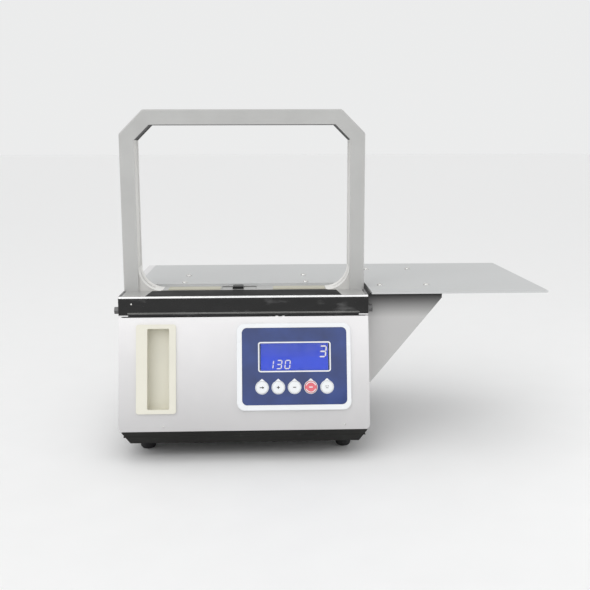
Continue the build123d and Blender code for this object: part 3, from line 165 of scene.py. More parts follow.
door_foot, door_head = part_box("front_door")[0].z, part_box("front_door")[1].z
deck_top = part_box("deck_rail")[1].z
guide_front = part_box("corner_guides")[0].y
WHITE_PAINT = (0.78, 0.77, 0.775)
looks = {
    "paint_white": surface("body_paint", WHITE_PAINT, 0.34, mottle=0.02, grain=0.10, coat=0.15),
    # the door's paint is darker towards its foot and lighter at its head: painted shade
    "door_paint_painted_shade": surface("door_paint_painted_shade", WHITE_PAINT, 0.34, mottle=0.02, grain=0.10, coat=0.15,
                          tone_ramp=("Z", door_foot, door_head, 0.72, 1.13)),
    "paint_silver": surface("arch_paint", (0.52, 0.52, 0.51), 0.33, 0.25, mottle=0.03, grain=0.08,
                            grain_mm=0.5),
    "paint_table": surface("table_paint", (0.60, 0.61, 0.61), 0.36, 0.20, mottle=0.02, mottle_mm=90,
                           grain=0.04, rough_swing=0.02),
    # the bracket's paint goes almost black near its top, under the table: a painted shadow of the table
    "bracket_paint_painted_shadow": surface("bracket_paint_painted_shadow", (0.56, 0.555, 0.55), 0.40, 0.10, mottle=0.02, mottle_mm=90,
                             grain=0.06, tone_ramp=("Z", deck_top - 26 * MM, deck_top - 3 * MM, 0.96, 0.05)),
    "paint_black": surface("tray_paint", (0.012, 0.012, 0.011), 0.45, mottle=0.3, grain=0.15, marks=0.06,
                           specular=0.25),
    "rubber_black": surface("foot_rubber", (0.012, 0.012, 0.013), 0.7, mottle=0.2, grain=0.4, marks=0.2),
    "rail_polished": surface("rail_metal", (0.009, 0.009, 0.009), 0.24, 0.25, mottle=0.5, mottle_mm=16,
                             grain=0.03, stretch=(0.35, 1, 1), rough_swing=0.12, marks=0.35, marks_mm=11),
    "deck_steel": surface("deck_steel", (0.56, 0.56, 0.55), 0.30, 0.6, mottle=0.04, grain=0.08,
                          stretch=(0.2, 1, 1)),
    "slide_sheet": surface("slide_sheet", (0.004, 0.004, 0.004), 0.48, mottle=0.3, grain=0.03, marks=0.04,
                           specular=0.08),
    "strip_tan": surface("track_strip", (0.58, 0.56, 0.45), 0.45, mottle=0.05, grain=0.08),
    "abs_cream": surface("cream_plastic", (0.80, 0.78, 0.68), 0.38, mottle=0.02, grain=0.08),
    "liner_white": surface("liner_plastic", (0.76, 0.75, 0.72), 0.35, mottle=0.03, grain=0.10, marks=0.2),
    "liner_black": surface("liner_black_plastic", (0.010, 0.010, 0.010), 0.5, mottle=0.2, grain=0.10,
                           specular=0.2),
    "abs_white": surface("white_plastic", (0.88, 0.90, 0.92), 0.28, mottle=0.01, grain=0.06),
    "key_red": surface("red_key", (0.78, 0.16, 0.20), 0.32, mottle=0.02, grain=0.08),
    "overlay_blue": surface("overlay_film", (0.018, 0.044, 0.19), 0.16, mottle=0.25, mottle_mm=30, grain=0.05,
                            coat=0.6, rough_swing=0.05),
    "display_blue": surface("display_backlight", (0.035, 0.085, 0.52), 0.30, mottle=0.10, grain=0.02),
    "zinc_steel": surface("zinc_plate", (0.74, 0.74, 0.72), 0.26, 0.9, mottle=0.08, mottle_mm=8, grain=0.04),
    # light grey bead on the black rail's lower edge: a painted highlight
    "bead_painted_highlight": surface("rolled_bead_painted_highlight", (0.34, 0.34, 0.33), 0.5, 0.0, mottle=0.1, grain=0.02),
    # the front faces of the corner guides are darker than the rest: painted shade
    "guide_white_painted_shade": surface("guide_plastic_painted_shade", (0.93, 0.92, 0.89), 0.35, mottle=0.02, grain=0.10,
                           tone_ramp=("Y", guide_front + 0.2 * MM, guide_front + 0.6 * MM, 0.70, 1.0)),
    "anvil_plate": surface("anvil_steel", (0.50, 0.50, 0.49), 0.36, 0.3, mottle=0.1, grain=0.1,
                           tone_ramp=("Z", deck_top + 0.1 * MM, deck_top + 0.3 * MM, 1.0, 0.02)),
    "screw_dark": surface("dark_screw", (0.13, 0.13, 0.13), 0.30, 0.8, mottle=0.2, mottle_mm=3, grain=0.1),
    # near-white edge on the black rail's top bevel: a painted highlight
    "rail_edge_painted_highlight": surface("polished_edge_painted_highlight", (0.93, 0.93, 0.93), 0.24, 0.5, mottle=0.02, mottle_mm=12,
                         grain=0.01),
    "anvil_black": surface("blackened_steel", (0.02, 0.02, 0.02), 0.38, 0.6, mottle=0.3, marks=0.3),
    "tool_steel": surface("ground_steel", (0.46, 0.46, 0.46), 0.30, 1.0, mottle=0.1, grain=0.15,
                          stretch=(1, 1, 8)),
    "block_alloy": surface("machined_alloy", (0.66, 0.66, 0.67), 0.35, 1.0, mottle=0.05, grain=0.15,
                           stretch=(8, 1, 1)),
    "motor_grey": surface("motor_can", (0.20, 0.20, 0.21), 0.35, 0.9, mottle=0.1, grain=0.1),
    "roller_rubber": surface("roller_rubber", (0.04, 0.04, 0.04), 0.75, mottle=0.2, grain=0.5),
    "board_green": surface("circuit_board", (0.01, 0.12, 0.04), 0.35, mottle=0.15, mottle_mm=3, grain=0.1,
                           coat=0.3),
    "magnet_black": surface("magnet", (0.03, 0.03, 0.03), 0.5, 0.4, mottle=0.2),
    "reel_plastic": surface("reel_plastic", (0.05, 0.05, 0.055), 0.45, mottle=0.1, grain=0.2),
    "wire_brown": surface("brown_wire", (0.16, 0.05, 0.02), 0.4, mottle=0.05),
    "wire_blue": surface("blue_wire", (0.02, 0.07, 0.30), 0.4, mottle=0.05),
    "wire_green": surface("green_wire", (0.10, 0.24, 0.03), 0.4, mottle=0.05),
    "plastic_black": surface("black_plastic", (0.015, 0.015, 0.016), 0.40, mottle=0.1, grain=0.2),
}
looks["tape_paper"], tape_mapping = banded("paper_tape", (0.74, 0.70, 0.58), 0.55, 0.9, "X", 0.35, rings=True)
looks["iron_core"] = banded("laminations", (0.10, 0.09, 0.085), 0.5, 0.8, "Y", 0.6, metal=0.4)[0]
looks["copper_coil"] = banded("coil_wire", (0.42, 0.16, 0.05), 0.35, 0.9, "Z", 0.8, metal=0.8)[0]
tape_mapping.inputs["Location"].default_value = (0, -middle("tape_roll", Y), -middle("tape_roll", Z))

clear = bpy.data.materials.new("display_glass")
clear.use_nodes = True
glass = clear.node_tree.nodes["Principled BSDF"]
glass.inputs["Base Color"].default_value = (0.85, 0.88, 1.0, 1)
glass.inputs["Roughness"].default_value = 0.06
glass.inputs["Transmission Weight"].default_value = 0.96
glass.inputs["IOR"].default_value = 1.2
looks["window_clear"] = clear

glow = looks["display_blue"].node_tree.nodes["Principled BSDF"]
glow.inputs["Emission Color"].default_value = (0.03, 0.09, 0.80, 1)
glow.inputs["Emission Strength"].default_value = 0.38

OWN_LOOK = {"front_door": "door_paint_painted_shade", "table_bracket": "bracket_paint_painted_shadow", "track_strips": "strip_tan",
            "corner_guides": "guide_white_painted_shade", "seal_anvil": "anvil_plate", "deck_screws": "screw_dark"}
slots = {s["node"]: s["material_slot"] for s in frame["record"]["subparts"]}
for node, piece in frame["nodes"].items():
    for slot in piece.material_slots:
        slot.link = "OBJECT"
        slot.material = looks[OWN_LOOK.get(node, slots[node])]


def soften(node, width_mm, segments=2):
    """Breaks the sharp edges of a CAD node, so that they catch the light."""
    bevel = frame["nodes"][node].modifiers.new("edges", "BEVEL")
    bevel.width = width_mm * MM
    bevel.segments = segments
    bevel.limit_method = "ANGLE"
    bevel.angle_limit = math.radians(50)
    bevel.harden_normals = False


EDGE_WIDTHS = {
    0.35: ("front_door", "side_panel_left", "side_panel_right", "rear_panel", "rear_hatch"),
    0.30: ("base_tray", "door_pull", "head_block", "table_bracket", "power_inlet", "switch_housing"),
    0.25: ("deck_rail", "deck_plate", "table_plate", "corner_guides", "track_strips", "leg_liners",
           "top_liners", "switch_rocker", "deck_screws"),
}
for width, softened in EDGE_WIDTHS.items():
    for node in softened:
        soften(node, width)


# ---- mesh helpers --------------------------------------------------------------------------------
def finish_piece(mesh, name, slot, body, look=None):
    data = bpy.data.meshes.new(name)
    bmesh.ops.recalc_face_normals(mesh, faces=mesh.faces)
    mesh.to_mesh(data)
    mesh.free()
    piece = bpy.data.objects.new(name, data)
    bpy.context.collection.objects.link(piece)
    data.materials.append(looks[look or slot])
    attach(piece, body)
    return piece


def door_face(a, b, out):
    """A point in front of the door: across, up the face, and out of it."""
    return X * a + UP * b + OUT * out


def rounded(cx, cy, w, h, r, steps=8):
    """Outline of a rectangle with round corners, anticlockwise."""
    points = []
    for sx, sy, start in ((1, 1, 0), (-1, 1, 90), (-1, -1, 180), (1, -1, 270)):
        for i in range(steps + 1):
            a = math.radians(start + 90 * i / steps)
            points.append((cx + sx * (w / 2 - r) + r * math.cos(a), cy + sy * (h / 2 - r) + r * math.sin(a)))
    return points


def circle(cx, cy, r, steps=48):
    angles = [2 * math.pi * i / steps for i in range(steps)]
    return [(cx + r * math.cos(a), cy + r * math.sin(a)) for a in angles]


def add_plate(mesh, outline, place, low, high):
    """Adds a flat plate of any outline between two heights."""
    rings = [[mesh.verts.new(place(a, b, h)) for a, b in outline] for h in (low, high)]
    count = len(outline)
    for i in range(count):
        j = (i + 1) % count
        mesh.faces.new((rings[0][i], rings[0][j], rings[1][j], rings[1][i]))
    mesh.faces.new(rings[0][::-1])
    mesh.faces.new(rings[1])


def add_frame(mesh, outer, inner, place, low, high, crown=0.0):
    """Adds a band between two outlines of the same number of points, with a crowned top."""
    mid = [((p[0] + q[0]) / 2, (p[1] + q[1]) / 2) for p, q in zip(outer, inner)]
    loops = [(outer, low), (outer, high), (mid, high + crown), (inner, high), (inner, low)]
    rings = [[mesh.verts.new(place(a, b, h)) for a, b in line] for line, h in loops]
    count = len(outer)
    for ring, following in zip(rings, rings[1:] + rings[:1]):
        for i in range(count):
            j = (i + 1) % count
            mesh.faces.new((ring[i], ring[j], following[j], following[i]))


def add_lathe(mesh, profile, place, cx, cy, steps=40, sides=None):
    """Turns a profile of (radius, height) about a centre. Rings listed in sides are six-sided."""
    rings = []
    for k, (r, h) in enumerate(profile):
        ring = []
        for i in range(steps):
            a = 2 * math.pi * i / steps
            flat = 1.0
            if sides and k in sides:
                flat = math.cos(math.pi / 6) / math.cos((a % (math.pi / 3)) - math.pi / 6)
            ring.append(mesh.verts.new(place(cx + r * flat * math.cos(a), cy + r * flat * math.sin(a), h)))
        rings.append(ring)
    for ring, following in zip(rings, rings[1:]):
        for i in range(steps):
            j = (i + 1) % steps
            mesh.faces.new((ring[i], ring[j], following[j], following[i]))
    mesh.faces.new(rings[0][::-1])
    mesh.faces.new(rings[-1])


def add_socket_screw(mesh, place, cx, cy, r, base=0.0):
    """A button-head screw with a hexagon socket."""
    h = r * 0.55
    shares = ((1, 0), (1, 0.25), (0.93, 0.55), (0.75, 0.85), (0.52, 1), (0.46, 1), (0.42, 0.9), (0.40, 0.3))
    profile = [(r * across, base + h * up) for across, up in shares]
    add_lathe(mesh, profile, place, cx, cy, sides=(5, 6, 7))


# ---- printed and moulded details of the control panel ----------------------------------------------
film = span("panel_overlay", OUT)[1]
PRINT = 0.12 * MM
window_x, window_up = middle("display_window", X), middle("display_window", UP)
window_w = span("display_window", X)[1] - span("display_window", X)[0]
window_h = span("display_window", UP)[1] - span("display_window", UP)[0]

FRAME_PAST, FRAME_INTO = 1.2 * MM, 1.4 * MM     # the frame is this much larger and smaller than the window
mesh = bmesh.new()
add_frame(mesh, rounded(window_x, window_up, window_w + FRAME_PAST, window_h + FRAME_PAST, 2.6 * MM),
          rounded(window_x, window_up, window_w - FRAME_INTO, window_h - FRAME_INTO, 1.4 * MM),
          door_face, film, film + 0.25 * MM, 0.08 * MM)
finish_piece(mesh, "window_frame", "abs_white", "front_door")

keys = ("key_feed", "key_longer", "key_shorter", "key_reset", "key_mode")
key_r = {k: (span(k, X)[1] - span(k, X)[0]) / 2 - 0.8 * MM for k in keys}
key_up = middle("key_feed", UP)
COLLAR_GAP, COLLAR_W = 0.35 * MM, 0.45 * MM
COLLAR_TIP, TIP_REACH = 1.9 * MM, 0.42          # height of the point, and its half width in radians


def key_collar(name, node, slot):
    """The print round a key: a thin ring that comes to a point above it."""
    r = key_r[node] + COLLAR_GAP
    outer_r = r + COLLAR_W
    cx = middle(node, X)
    steps = 64
    outline = []
    for i in range(steps):
        a = 2 * math.pi * i / steps
        lift = COLLAR_TIP * max(0.0, 1 - abs(a - math.pi / 2) / TIP_REACH)
        outline.append((cx + outer_r * math.cos(a), key_up + outer_r * math.sin(a) + lift))
    ring = bmesh.new()
    add_frame(ring, outline, circle(cx, key_up, r - 0.1 * MM, steps), door_face, film, film + PRINT)
    finish_piece(ring, name, slot, "front_door")


for node in keys:
    key_collar(node + "_collar", node, "abs_white")


def bar(cx, cy, w, h):
    """Outline of a plain rectangle."""
    return [(cx + sx * w / 2, cy + sy * h / 2) for sx, sy in ((-1, -1), (1, -1), (1, 1), (-1, 1))]


def key_mark(node, outlines, slot):
    top = span(node, OUT)[1]
    cx = middle(node, X)
    mark = bmesh.new()
    for outline in outlines:
        points = [(cx + a * MM, key_up + b * MM) for a, b in outline]
        add_plate(mark, points, door_face, top - 0.02 * MM, top + 0.10 * MM)
    finish_piece(mark, node + "_mark", slot, node)


plus = [(-0.4, -1.5), (0.4, -1.5), (0.4, -0.4), (1.5, -0.4), (1.5, 0.4), (0.4, 0.4), (0.4, 1.5), (-0.4, 1.5),
        (-0.4, 0.4), (-1.5, 0.4), (-1.5, -0.4), (-0.4, -0.4)]
arrow = [(-2.2, -0.4), (0.4, -0.4), (0.4, -1.3), (2.2, 0), (0.4, 1.3), (0.4, 0.4), (-2.2, 0.4)]
key_mark("key_feed", [arrow], "plastic_black")
key_mark("key_longer", [plus], "plastic_black")
key_mark("key_shorter", [bar(0, 0, 3.0, 0.8)], "plastic_black")
three_bars = [bar(-1.1, 0.9, 1.5, 0.5), bar(1.1, 0.9, 1.5, 0.5), bar(0, -0.9, 2.6, 0.5)]
key_mark("key_mode", three_bars, "plastic_black")


def arc_band(r0, r1, start, end, steps=24):
    """Outline of part of a ring, between two angles in degrees."""
    angles = [math.radians(start + (end - start) * i / steps) for i in range(steps + 1)]
    inner = [(r0 * math.cos(a), r0 * math.sin(a)) for a in angles]
    outer = [(r1 * math.cos(a), r1 * math.sin(a)) for a in reversed(angles)]
    return inner + outer


broken_ring = [arc_band(4.6, 5.4, 20, 160), arc_band(4.6, 5.4, 200, 340)]
key_mark("key_reset", broken_ring + [bar(0, 0, 3.6, 1.1)], "abs_white")

# seven-segment digits behind the window
SEGMENTS = {"0": "abcdef", "1": "bc", "2": "abged", "3": "abgcd", "5": "afgcd", "8": "abcdefg"}


def add_digit(mesh, digit, x, up, height, out):
    w, t, lean = height * 0.58, height * 0.13, 0.12
    places = {"a": (0, 1, 0), "g": (0, 0, 0), "d": (0, -1, 0), "f": (-1, 0.5, 1), "b": (1, 0.5, 1),
              "e": (-1, -0.5, 1), "c": (1, -0.5, 1)}
    for name in SEGMENTS[digit]:
        sx, sy, upright = places[name]
        cx, cy = sx * w / 2, sy * height / 2
        half = (height / 2 if upright else w) / 2 - t * 0.18
        shape = [(-half, 0), (-half + t / 2, -t / 2), (half - t / 2, -t / 2),
                 (half, 0), (half - t / 2, t / 2), (-half + t / 2, t / 2)]
        if upright:
            shape = [(-b, a) for a, b in shape]
        points = [(x + cx + a + lean * (cy + b), up + cy + b) for a, b in shape]
        add_plate(mesh, points, door_face, out, out + 0.05 * MM)


on_glass = span("display_window", OUT)[1] + 0.02 * MM
DIGIT_START, DIGIT_PITCH = 12.2, 8.4     # millimetres from the window's left edge, and between digits
digits = bmesh.new()
left = window_x - window_w / 2
for i, digit in enumerate("130"):
    across = left + (DIGIT_START + DIGIT_PITCH * i) * MM
    add_digit(digits, digit, across, window_up - 7.6 * MM, 8.2 * MM, on_glass)
add_digit(digits, "3", left + window_w - 7.4 * MM, window_up + 5.2 * MM, 10.6 * MM, on_glass)
finish_piece(digits, "display_digits", "liner_white", "front_door")

# ---- deck rail: rolled lower edge painted light grey as a highlight, and a rivet ---------------------
rail_low, rail_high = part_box("deck_rail")


def front_of(y):
    """A plane that faces the front: across, up, and out towards the front."""
    return lambda a, b, out: Vector((a, y - out, b))


BEAD_SIDE = 9 * MM      # from the rail's ends to the bead and the black strip of painted shade at its foot
bead_z = rail_low.z + 1.9 * MM
bead_w = rail_high.x - rail_low.x - 2 * BEAD_SIDE
# the bead is light grey on the black rail: a painted highlight
mesh = bmesh.new()
add_frame(mesh, rounded(0, bead_z, bead_w, 1.3 * MM, 0.6 * MM, 4),
          rounded(0, bead_z, bead_w - 0.6 * MM, 0.5 * MM, 0.2 * MM, 4),
          front_of(rail_low.y), -0.1 * MM, 0.15 * MM, 0.2 * MM)
finish_piece(mesh, "rail_bead", "zinc_steel", "frame", "bead_painted_highlight")


def add_bar(mesh, section, start, end):
    """Adds a bar along X from a section of (y, z) points."""
    ends = [[mesh.verts.new((x, y, z)) for y, z in section] for x in (start, end)]
    for i in range(len(section)):
        j = (i + 1) % len(section)
        mesh.faces.new((ends[0][i], ends[0][j], ends[1][j], ends[1][i]))
    mesh.faces.new(ends[0][::-1])
    mesh.faces.new(ends[1])


# a near-white quarter round in the bevel along the top of the rail: a painted highlight
bevel = RAIL_BEVEL * MM
quarter = [(rail_low.y + bevel * (1 - math.sin(a)), rail_high.z - bevel * (1 - math.cos(a)))
           for a in [math.pi / 2 * i / 10 for i in range(11)]]
mesh = bmesh.new()
add_bar(mesh, quarter, rail_low.x + 0.3 * MM, rail_high.x - 0.3 * MM)
finish_piece(mesh, "rail_top_highlight_strip", "zinc_steel", "frame", "rail_edge_painted_highlight")
mesh = bmesh.new()
add_socket_screw(mesh, front_of(rail_low.y), rail_low.x + 13 * MM, rail_high.z - 7.5 * MM, 0.9 * MM)
finish_piece(mesh, "rail_rivet", "zinc_steel", "frame")

# a black strip under the rail, over the door's head: painted shade in the gap between the rail and the door
gap_shade_low, gap_shade_high = door_head + 0.5 * MM, rail_low.z - 0.02 * MM
gap_shade_section = ((0.7, gap_shade_high), (0.7, gap_shade_low + 0.4 * MM), (1.1, gap_shade_low),
                (2.6, gap_shade_low), (2.6, gap_shade_high))
gap_shade_points = [(rail_low.y + back * MM, z) for back, z in gap_shade_section]
mesh = bmesh.new()
add_bar(mesh, gap_shade_points, rail_low.x + BEAD_SIDE, rail_high.x - BEAD_SIDE)
finish_piece(mesh, "head_gap_shade_strip", "rubber_black", "frame")

# ---- deck: black slide sheet in front of the tape, and a black strip of painted shade in the gap at the table's edge ---
def flat(a, b, out):
    """A point on a level surface: across, back, and up."""
    return Vector((a, b, out))


arch_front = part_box("arch_frame")[0].y
guide_low, guide_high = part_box("corner_guides")
sheet_y0, sheet_y1 = rail_low.y + 2.2 * MM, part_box("track_strips")[0].y - 5.0 * MM
sheet_x = guide_high.x - 11 * MM
sheet_toe = 3 * MM      # the sheet narrows by this much up to the arch, and by four times as much past it
right_edge = [(sheet_x, sheet_y0), (sheet_x - sheet_toe, arch_front - 1 * MM),
              (sheet_x - 4 * sheet_toe, arch_front + 1 * MM), (sheet_x - 4 * sheet_toe, sheet_y1)]
sheet = right_edge + [(-x, y) for x, y in reversed(right_edge)]
mesh = bmesh.new()
add_plate(mesh, sheet, flat, rail_high.z + 0.01 * MM, rail_high.z + 0.35 * MM)
finish_piece(mesh, "slide_sheet", "liner_black", "frame", "slide_sheet")

# black plates at the backs of the slits in the corner guides: painted shade in the slits
guide_r = guide_high.z - rail_high.z
slit_y = (guide_low.y + guide_high.y) / 2
mesh = bmesh.new()
for side in (-1, 1):
    turn_x, turn_z, slit_r = guide_high.x - guide_r, rail_high.z + guide_r, guide_r + 0.5 * MM
    angles = [math.radians(-84 + 78 * i / 24) for i in range(25)]
    arc = [(turn_x + slit_r * math.cos(a), turn_z + slit_r * math.sin(a)) for a in angles]
    back = [(side * x, z) for x, z in arc + [(guide_high.x - 0.2 * MM, rail_high.z + 1.1 * MM)]]
    add_plate(mesh, back, front_of(slit_y), -1.45 * MM, 1.45 * MM)
finish_piece(mesh, "guide_slit_painted_shade", "rubber_black", "frame")

table_low, table_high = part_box("table_plate")
# a black strip in the gap between the deck and the table: painted shade
mesh = bmesh.new()
gap_x = (rail_high.x + 0.3 * MM, rail_high.x + 2.9 * MM)
gap_shade_outline = rounded(sum(gap_x) / 2, (table_low.y + rail_high.y) / 2, gap_x[1] - gap_x[0],
                    rail_high.y - table_low.y - 2 * MM, 1.0 * MM, 4)
add_plate(mesh, gap_shade_outline, flat, table_low.z - 1.9 * MM, table_low.z + 0.3 * MM)
finish_piece(mesh, "table_gap_shade_strip", "rubber_black", "frame")

# a black strip between the table and its bracket, seen under the table's front edge: a painted shadow of the
# table
bracket_low, bracket_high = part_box("table_bracket")
mesh = bmesh.new()
shadow_outline = rounded((bracket_low.x + bracket_high.x) / 2, bracket_low.y - 0.7 * MM, bracket_high.x - bracket_low.x,
              1.2 * MM, 0.3 * MM, 3)
add_plate(mesh, shadow_outline, flat, bracket_high.z - 2.6 * MM, bracket_high.z - 0.05 * MM)
finish_piece(mesh, "bracket_shadow_strip", "rubber_black", "frame")


def stations(node, spacing):
    """Middles, seen from above, of the separate bodies of a node."""
    groups = []
    for vertex in frame["nodes"][node].data.vertices:
        here = vertex.co.xy
        for group in groups:
            if (here - group[0]).length < spacing:
                group.append(here)
                break
        else:
            groups.append([here])
    middles = []
    for group in groups:
        xs, ys = [p.x for p in group], [p.y for p in group]
        middles.append(((min(xs) + max(xs)) / 2, (min(ys) + max(ys)) / 2))
    return middles


SCREW_R, SCREW_SPACE = 3.0 * MM, 9 * MM     # the spacing tells one screw's points from the next one's
mesh = bmesh.new()
for x, y in stations("table_screws", SCREW_SPACE):
    add_socket_screw(mesh, flat, x, y, SCREW_R, table_high.z)
finish_piece(mesh, "table_screw_caps", "zinc_steel", "frame")

# ---- screws of the casing ----------------------------------------------------------------------------
face_out = span("front_door", OUT)[1]
foot_up = span("front_door", UP)[0]
mesh = bmesh.new()
for x in (-81 * MM, 101 * MM):
    add_socket_screw(mesh, door_face, x, foot_up + 5 * MM, 1.0 * MM, face_out)
finish_piece(mesh, "door_rivets", "zinc_steel", "front_door")

rear_low, rear_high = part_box("rear_panel")


def back_of(y):
    """A plane that faces the back: across, up, and out towards the back."""
    return lambda a, b, out: Vector((-a, y + out, b))


mesh = bmesh.new()
for sx in (-1, 1):
    for z in (rear_low.z + 7 * MM, rear_high.z - 7 * MM):
        add_socket_screw(mesh, back_of(rear_high.y), sx * (rear_high.x - 7 * MM), z, SCREW_R)
finish_piece(mesh, "rear_panel_screws", "zinc_steel", "frame")

for side, node in ((-1, "side_panel_left"), (1, "side_panel_right")):
    low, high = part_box(node)
    edge = low.x if side < 0 else high.x
    mesh = bmesh.new()
    for share in (0.12, 0.5, 0.88):
        y = low.y + (high.y - low.y) * share

        def place(a, b, out, edge=edge, side=side):
            return Vector((edge + side * out, a * -side, b))

        add_socket_screw(mesh, place, y * -side, low.z + 8 * MM, SCREW_R)
    finish_piece(mesh, node + "_screws", "zinc_steel", "frame")

# ---- circuit boards and wiring inside the casing -------------------------------------------------------
def add_chip(mesh, place, cx, cy, w, d, base, height, pins):
    """A moulded chip with a row of legs along both long sides."""
    corner, draft, shoulder = 0.3 * MM, 0.4 * MM, base + height * 0.7
    add_plate(mesh, rounded(cx, cy, w, d, corner, 2), place, base + 0.4 * MM, shoulder)
    add_plate(mesh, rounded(cx, cy, w - draft, d - draft, corner, 2), place, shoulder, base + height)
    for i in range(pins):
        x = cx + (i + 0.5 - pins / 2) * w / pins
        for side in (-1, 1):
            leg = bar(x, cy + side * (d / 2 + 0.5 * MM), 0.45 * MM, 1.4 * MM)
            add_plate(mesh, leg, place, base, base + 0.5 * MM)


def add_header(mesh, place, cx, cy, w, d, base, height):
    """An open box-shaped plug socket."""
    outer = rounded(cx, cy, w, d, 0.5 * MM, 3)
    inner = rounded(cx, cy, w - 1.6 * MM, d - 1.6 * MM, 0.3 * MM, 3)
    add_frame(mesh, outer, inner, place, base, base + height)
    add_plate(mesh, inner, place, base, base + 0.8 * MM)


def above_power_board(a, b, out):
    """A point over the power board: across, back, and up from its face."""
    return Vector((power_x + a, power_y + b, power_top + out))


power_low, power_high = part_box("power_board")
power_x, power_y = (power_low.x + power_high.x) / 2, (power_low.y + power_high.y) / 2
POSTS, BOARD_T = 6.0, 1.6     # height of the board's posts, and its thickness
power_top = power_low.z + (POSTS + BOARD_T) * MM
HEADER_D = 6 * MM
chips, headers, relays = bmesh.new(), bmesh.new(), bmesh.new()
power_chips = ((-40, 12, 10, 6.5, 4), (-40, -4, 10, 6.5, 4), (-16, 17, 18, 7, 8), (46, 12, 7, 5, 3))
for x, y, w, d, pins in power_chips:
    add_chip(chips, above_power_board, x * MM, y * MM, w * MM, d * MM, 0, 3.4 * MM, pins)
for x, y, w in ((-38, -20, 16), (-12, -20, 12), (10, -20, 12), (34, -20, 18)):
    add_header(headers, above_power_board, x * MM, y * MM, w * MM, HEADER_D, 0, 8 * MM)
for x, y in ((16, 18), (36, 18)):
    add_plate(relays, rounded(x * MM, y * MM, 15 * MM, 10 * MM, 0.6 * MM, 3), above_power_board, 0, 11 * MM)
finish_piece(chips, "power_board_chips", "plastic_black", "frame")
finish_piece(headers, "power_board_sockets", "abs_white", "frame")
finish_piece(relays, "power_board_relays", "overlay_blue", "frame")

board_back = span("control_board", OUT)[0]
board_x, board_up = middle("control_board", X), middle("control_board", UP)


def behind_control_board(a, b, out):
    """A point behind the control board: across, up the door, and inwards."""
    return door_face(board_x + a, board_up + b, board_back - out)


chips, headers = bmesh.new(), bmesh.new()
control_chips = ((-8, 16, 14, 8, 8), (22, 18, 8, 5, 4), (-34, 14, 6, 5, 3), (10, -14, 10, 5, 5))
for x, y, w, d, pins in control_chips:
    add_chip(chips, behind_control_board, x * MM, y * MM, w * MM, d * MM, 0, 1.8 * MM, pins)
for x, y, w in ((-30, -22, 16), (30, -22, 14)):
    add_header(headers, behind_control_board, x * MM, y * MM, w * MM, HEADER_D, 0, 2.0 * MM)
finish_piece(chips, "control_board_chips", "plastic_black", "front_door")
finish_piece(headers, "control_board_sockets", "abs_white", "front_door")


def add_wire(mesh, points, r, steps=24, sides=10):
    """A round wire along a smooth curve from the first to the last of four points."""
    rings = []
    for i in range(steps + 1):
        t = i / steps
        a, b, c, d = (1 - t) ** 3, 3 * t * (1 - t) ** 2, 3 * t * t * (1 - t), t ** 3
        here = points[0] * a + points[1] * b + points[2] * c + points[3] * d
        along = ((points[1] - points[0]) * (1 - t) ** 2 + (points[2] - points[1]) * 2 * t * (1 - t)
                 + (points[3] - points[2]) * t * t).normalized()
        across = along.cross(X + Z * 0.1).normalized()
        lift = along.cross(across)
        turns = [2 * math.pi * k / sides for k in range(sides)]
        circle_points = [here + across * (r * math.cos(k)) + lift * (r * math.sin(k)) for k in turns]
        rings.append([mesh.verts.new(point) for point in circle_points])
    for ring, following in zip(rings, rings[1:]):
        for k in range(sides):
            j = (k + 1) % sides
            mesh.faces.new((ring[k], ring[j], following[j], following[k]))
    mesh.faces.new(rings[0][::-1])
    mesh.faces.new(rings[-1])


def inner_end(node):
    """Middle of the face of a rear fitting that looks into the casing."""
    low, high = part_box(node)
    return Vector(((low.x + high.x) / 2, low.y, (low.z + high.z) / 2))


WIRE_R, WIRE_PITCH = 0.9 * MM, 5 * MM
for i, name in enumerate(("wire_brown", "wire_blue", "wire_green")):
    shift = X * ((i - 1) * WIRE_PITCH)
    inlet_tail = inner_end("power_inlet") + shift
    switch_tail = inner_end("switch_housing") + shift
    socket_top = above_power_board((30 + 4 * i) * MM, -20 * MM, 5 * MM)
    wires = bmesh.new()
    if name != "wire_green":
        bend = Y * 14 * MM
        add_wire(wires, [inlet_tail, inlet_tail - bend, switch_tail - bend, switch_tail], WIRE_R)
    add_wire(wires, [inlet_tail, inlet_tail - Y * 20 * MM, socket_top + Z * 24 * MM, socket_top], WIRE_R)
    finish_piece(wires, name + "s", "rubber_black", "frame", name)

# ---- camera, light and floor ---------------------------------------------------------------------------
camera = bpy.data.objects.new("camera", bpy.data.cameras.new("camera"))
bpy.context.collection.objects.link(camera)
bpy.context.scene.camera = camera
camera.data.sensor_width = 36
camera.data.lens = 52.14
CAMERA_RIGHT, CAMERA_OUT, CAMERA_UP = 0.0219, 0.8494, 0.309     # out from the rail's face
YAW, PITCH, ROLL = 0.035, -0.168, -0.003
camera.location = Vector((CAMERA_RIGHT, rail_low.y - CAMERA_OUT, CAMERA_UP))
turned, raised = Matrix.Rotation(-YAW, 3, "Z"), Matrix.Rotation(math.pi / 2 + PITCH, 3, "X")
camera.rotation_euler = (turned @ raised @ Matrix.Rotation(ROLL, 3, "Z")).to_euler()


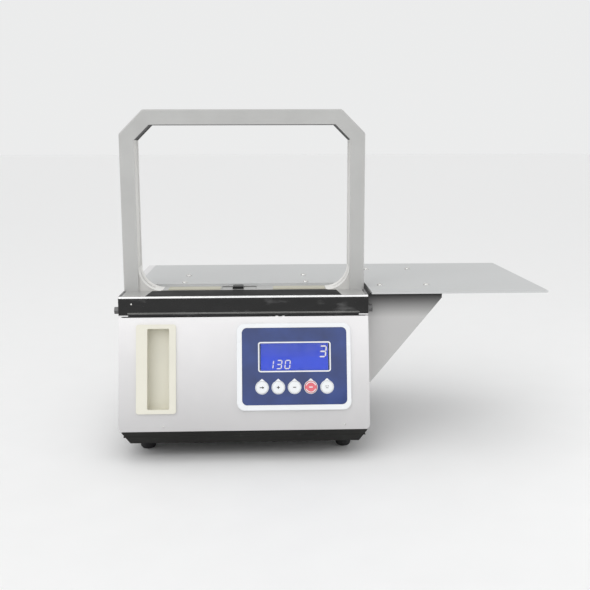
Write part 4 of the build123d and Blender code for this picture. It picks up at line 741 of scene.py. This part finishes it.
def lamp(name, place, aim, size, power):
    """A soft square lamp that points at a place."""
    light = bpy.data.lights.new(name, "AREA")
    light.shape = "SQUARE"
    light.size = size
    light.energy = power
    holder = bpy.data.objects.new(name, light)
    bpy.context.collection.objects.link(holder)
    holder.location = place
    holder.rotation_euler = (Vector(aim) - Vector(place)).to_track_quat("-Z", "Y").to_euler()


def skylight(name, tilt, spread, strength):
    """A broad soft light from far above, tilted towards a direction."""
    light = bpy.data.lights.new(name, "SUN")
    light.angle = math.radians(spread)
    light.energy = strength
    holder = bpy.data.objects.new(name, light)
    bpy.context.collection.objects.link(holder)
    holder.rotation_euler = Vector(tilt).to_track_quat("Z", "Y").to_euler()


skylight("sky_front", (-0.25, -0.50, 1.0), 110, 1.15)
skylight("sky_back", (0.25, 0.7, 1.0), 110, 0.35)
lamp("key_light", (-0.9, -1.4, 1.3), (0, 0, 0.12), 1.2, 5)
lamp("low_light", (0.85, -0.30, 0.22), (0.28, 0.08, 0.0), 0.5, 0.9)

# the room lights the object less than its bright backdrop looks
ROOM, BACKDROP = 0.52, 0.84
world = bpy.data.worlds.new("studio")
bpy.context.scene.world = world
world.use_nodes = True
nodes, links = world.node_tree.nodes, world.node_tree.links
room = nodes["Background"]
room.inputs["Strength"].default_value = ROOM
backdrop = nodes.new("ShaderNodeBackground")
backdrop.inputs["Strength"].default_value = BACKDROP
ray = nodes.new("ShaderNodeLightPath")
mix = nodes.new("ShaderNodeMixShader")
links.new(ray.outputs["Is Camera Ray"], mix.inputs["Fac"])
links.new(room.outputs["Background"], mix.inputs[1])
links.new(backdrop.outputs["Background"], mix.inputs[2])
links.new(mix.outputs["Shader"], nodes["World Output"].inputs["Surface"])
for background in (room, backdrop):
    background.inputs["Color"].default_value = (0.995, 1.0, 1.0, 1)
bpy.context.scene.view_settings.view_transform = "Standard"

floor_mesh = bmesh.new()
bmesh.ops.create_grid(floor_mesh, x_segments=8, y_segments=8, size=60)
floor_data = bpy.data.meshes.new("floor")
floor_mesh.to_mesh(floor_data)
floor_mesh.free()
floor = bpy.data.objects.new("floor", floor_data)
bpy.context.collection.objects.link(floor)
floor_data.materials.append(surface("studio_floor", (0.90, 0.90, 0.90), 0.6, mottle=0.005, grain=0.0))
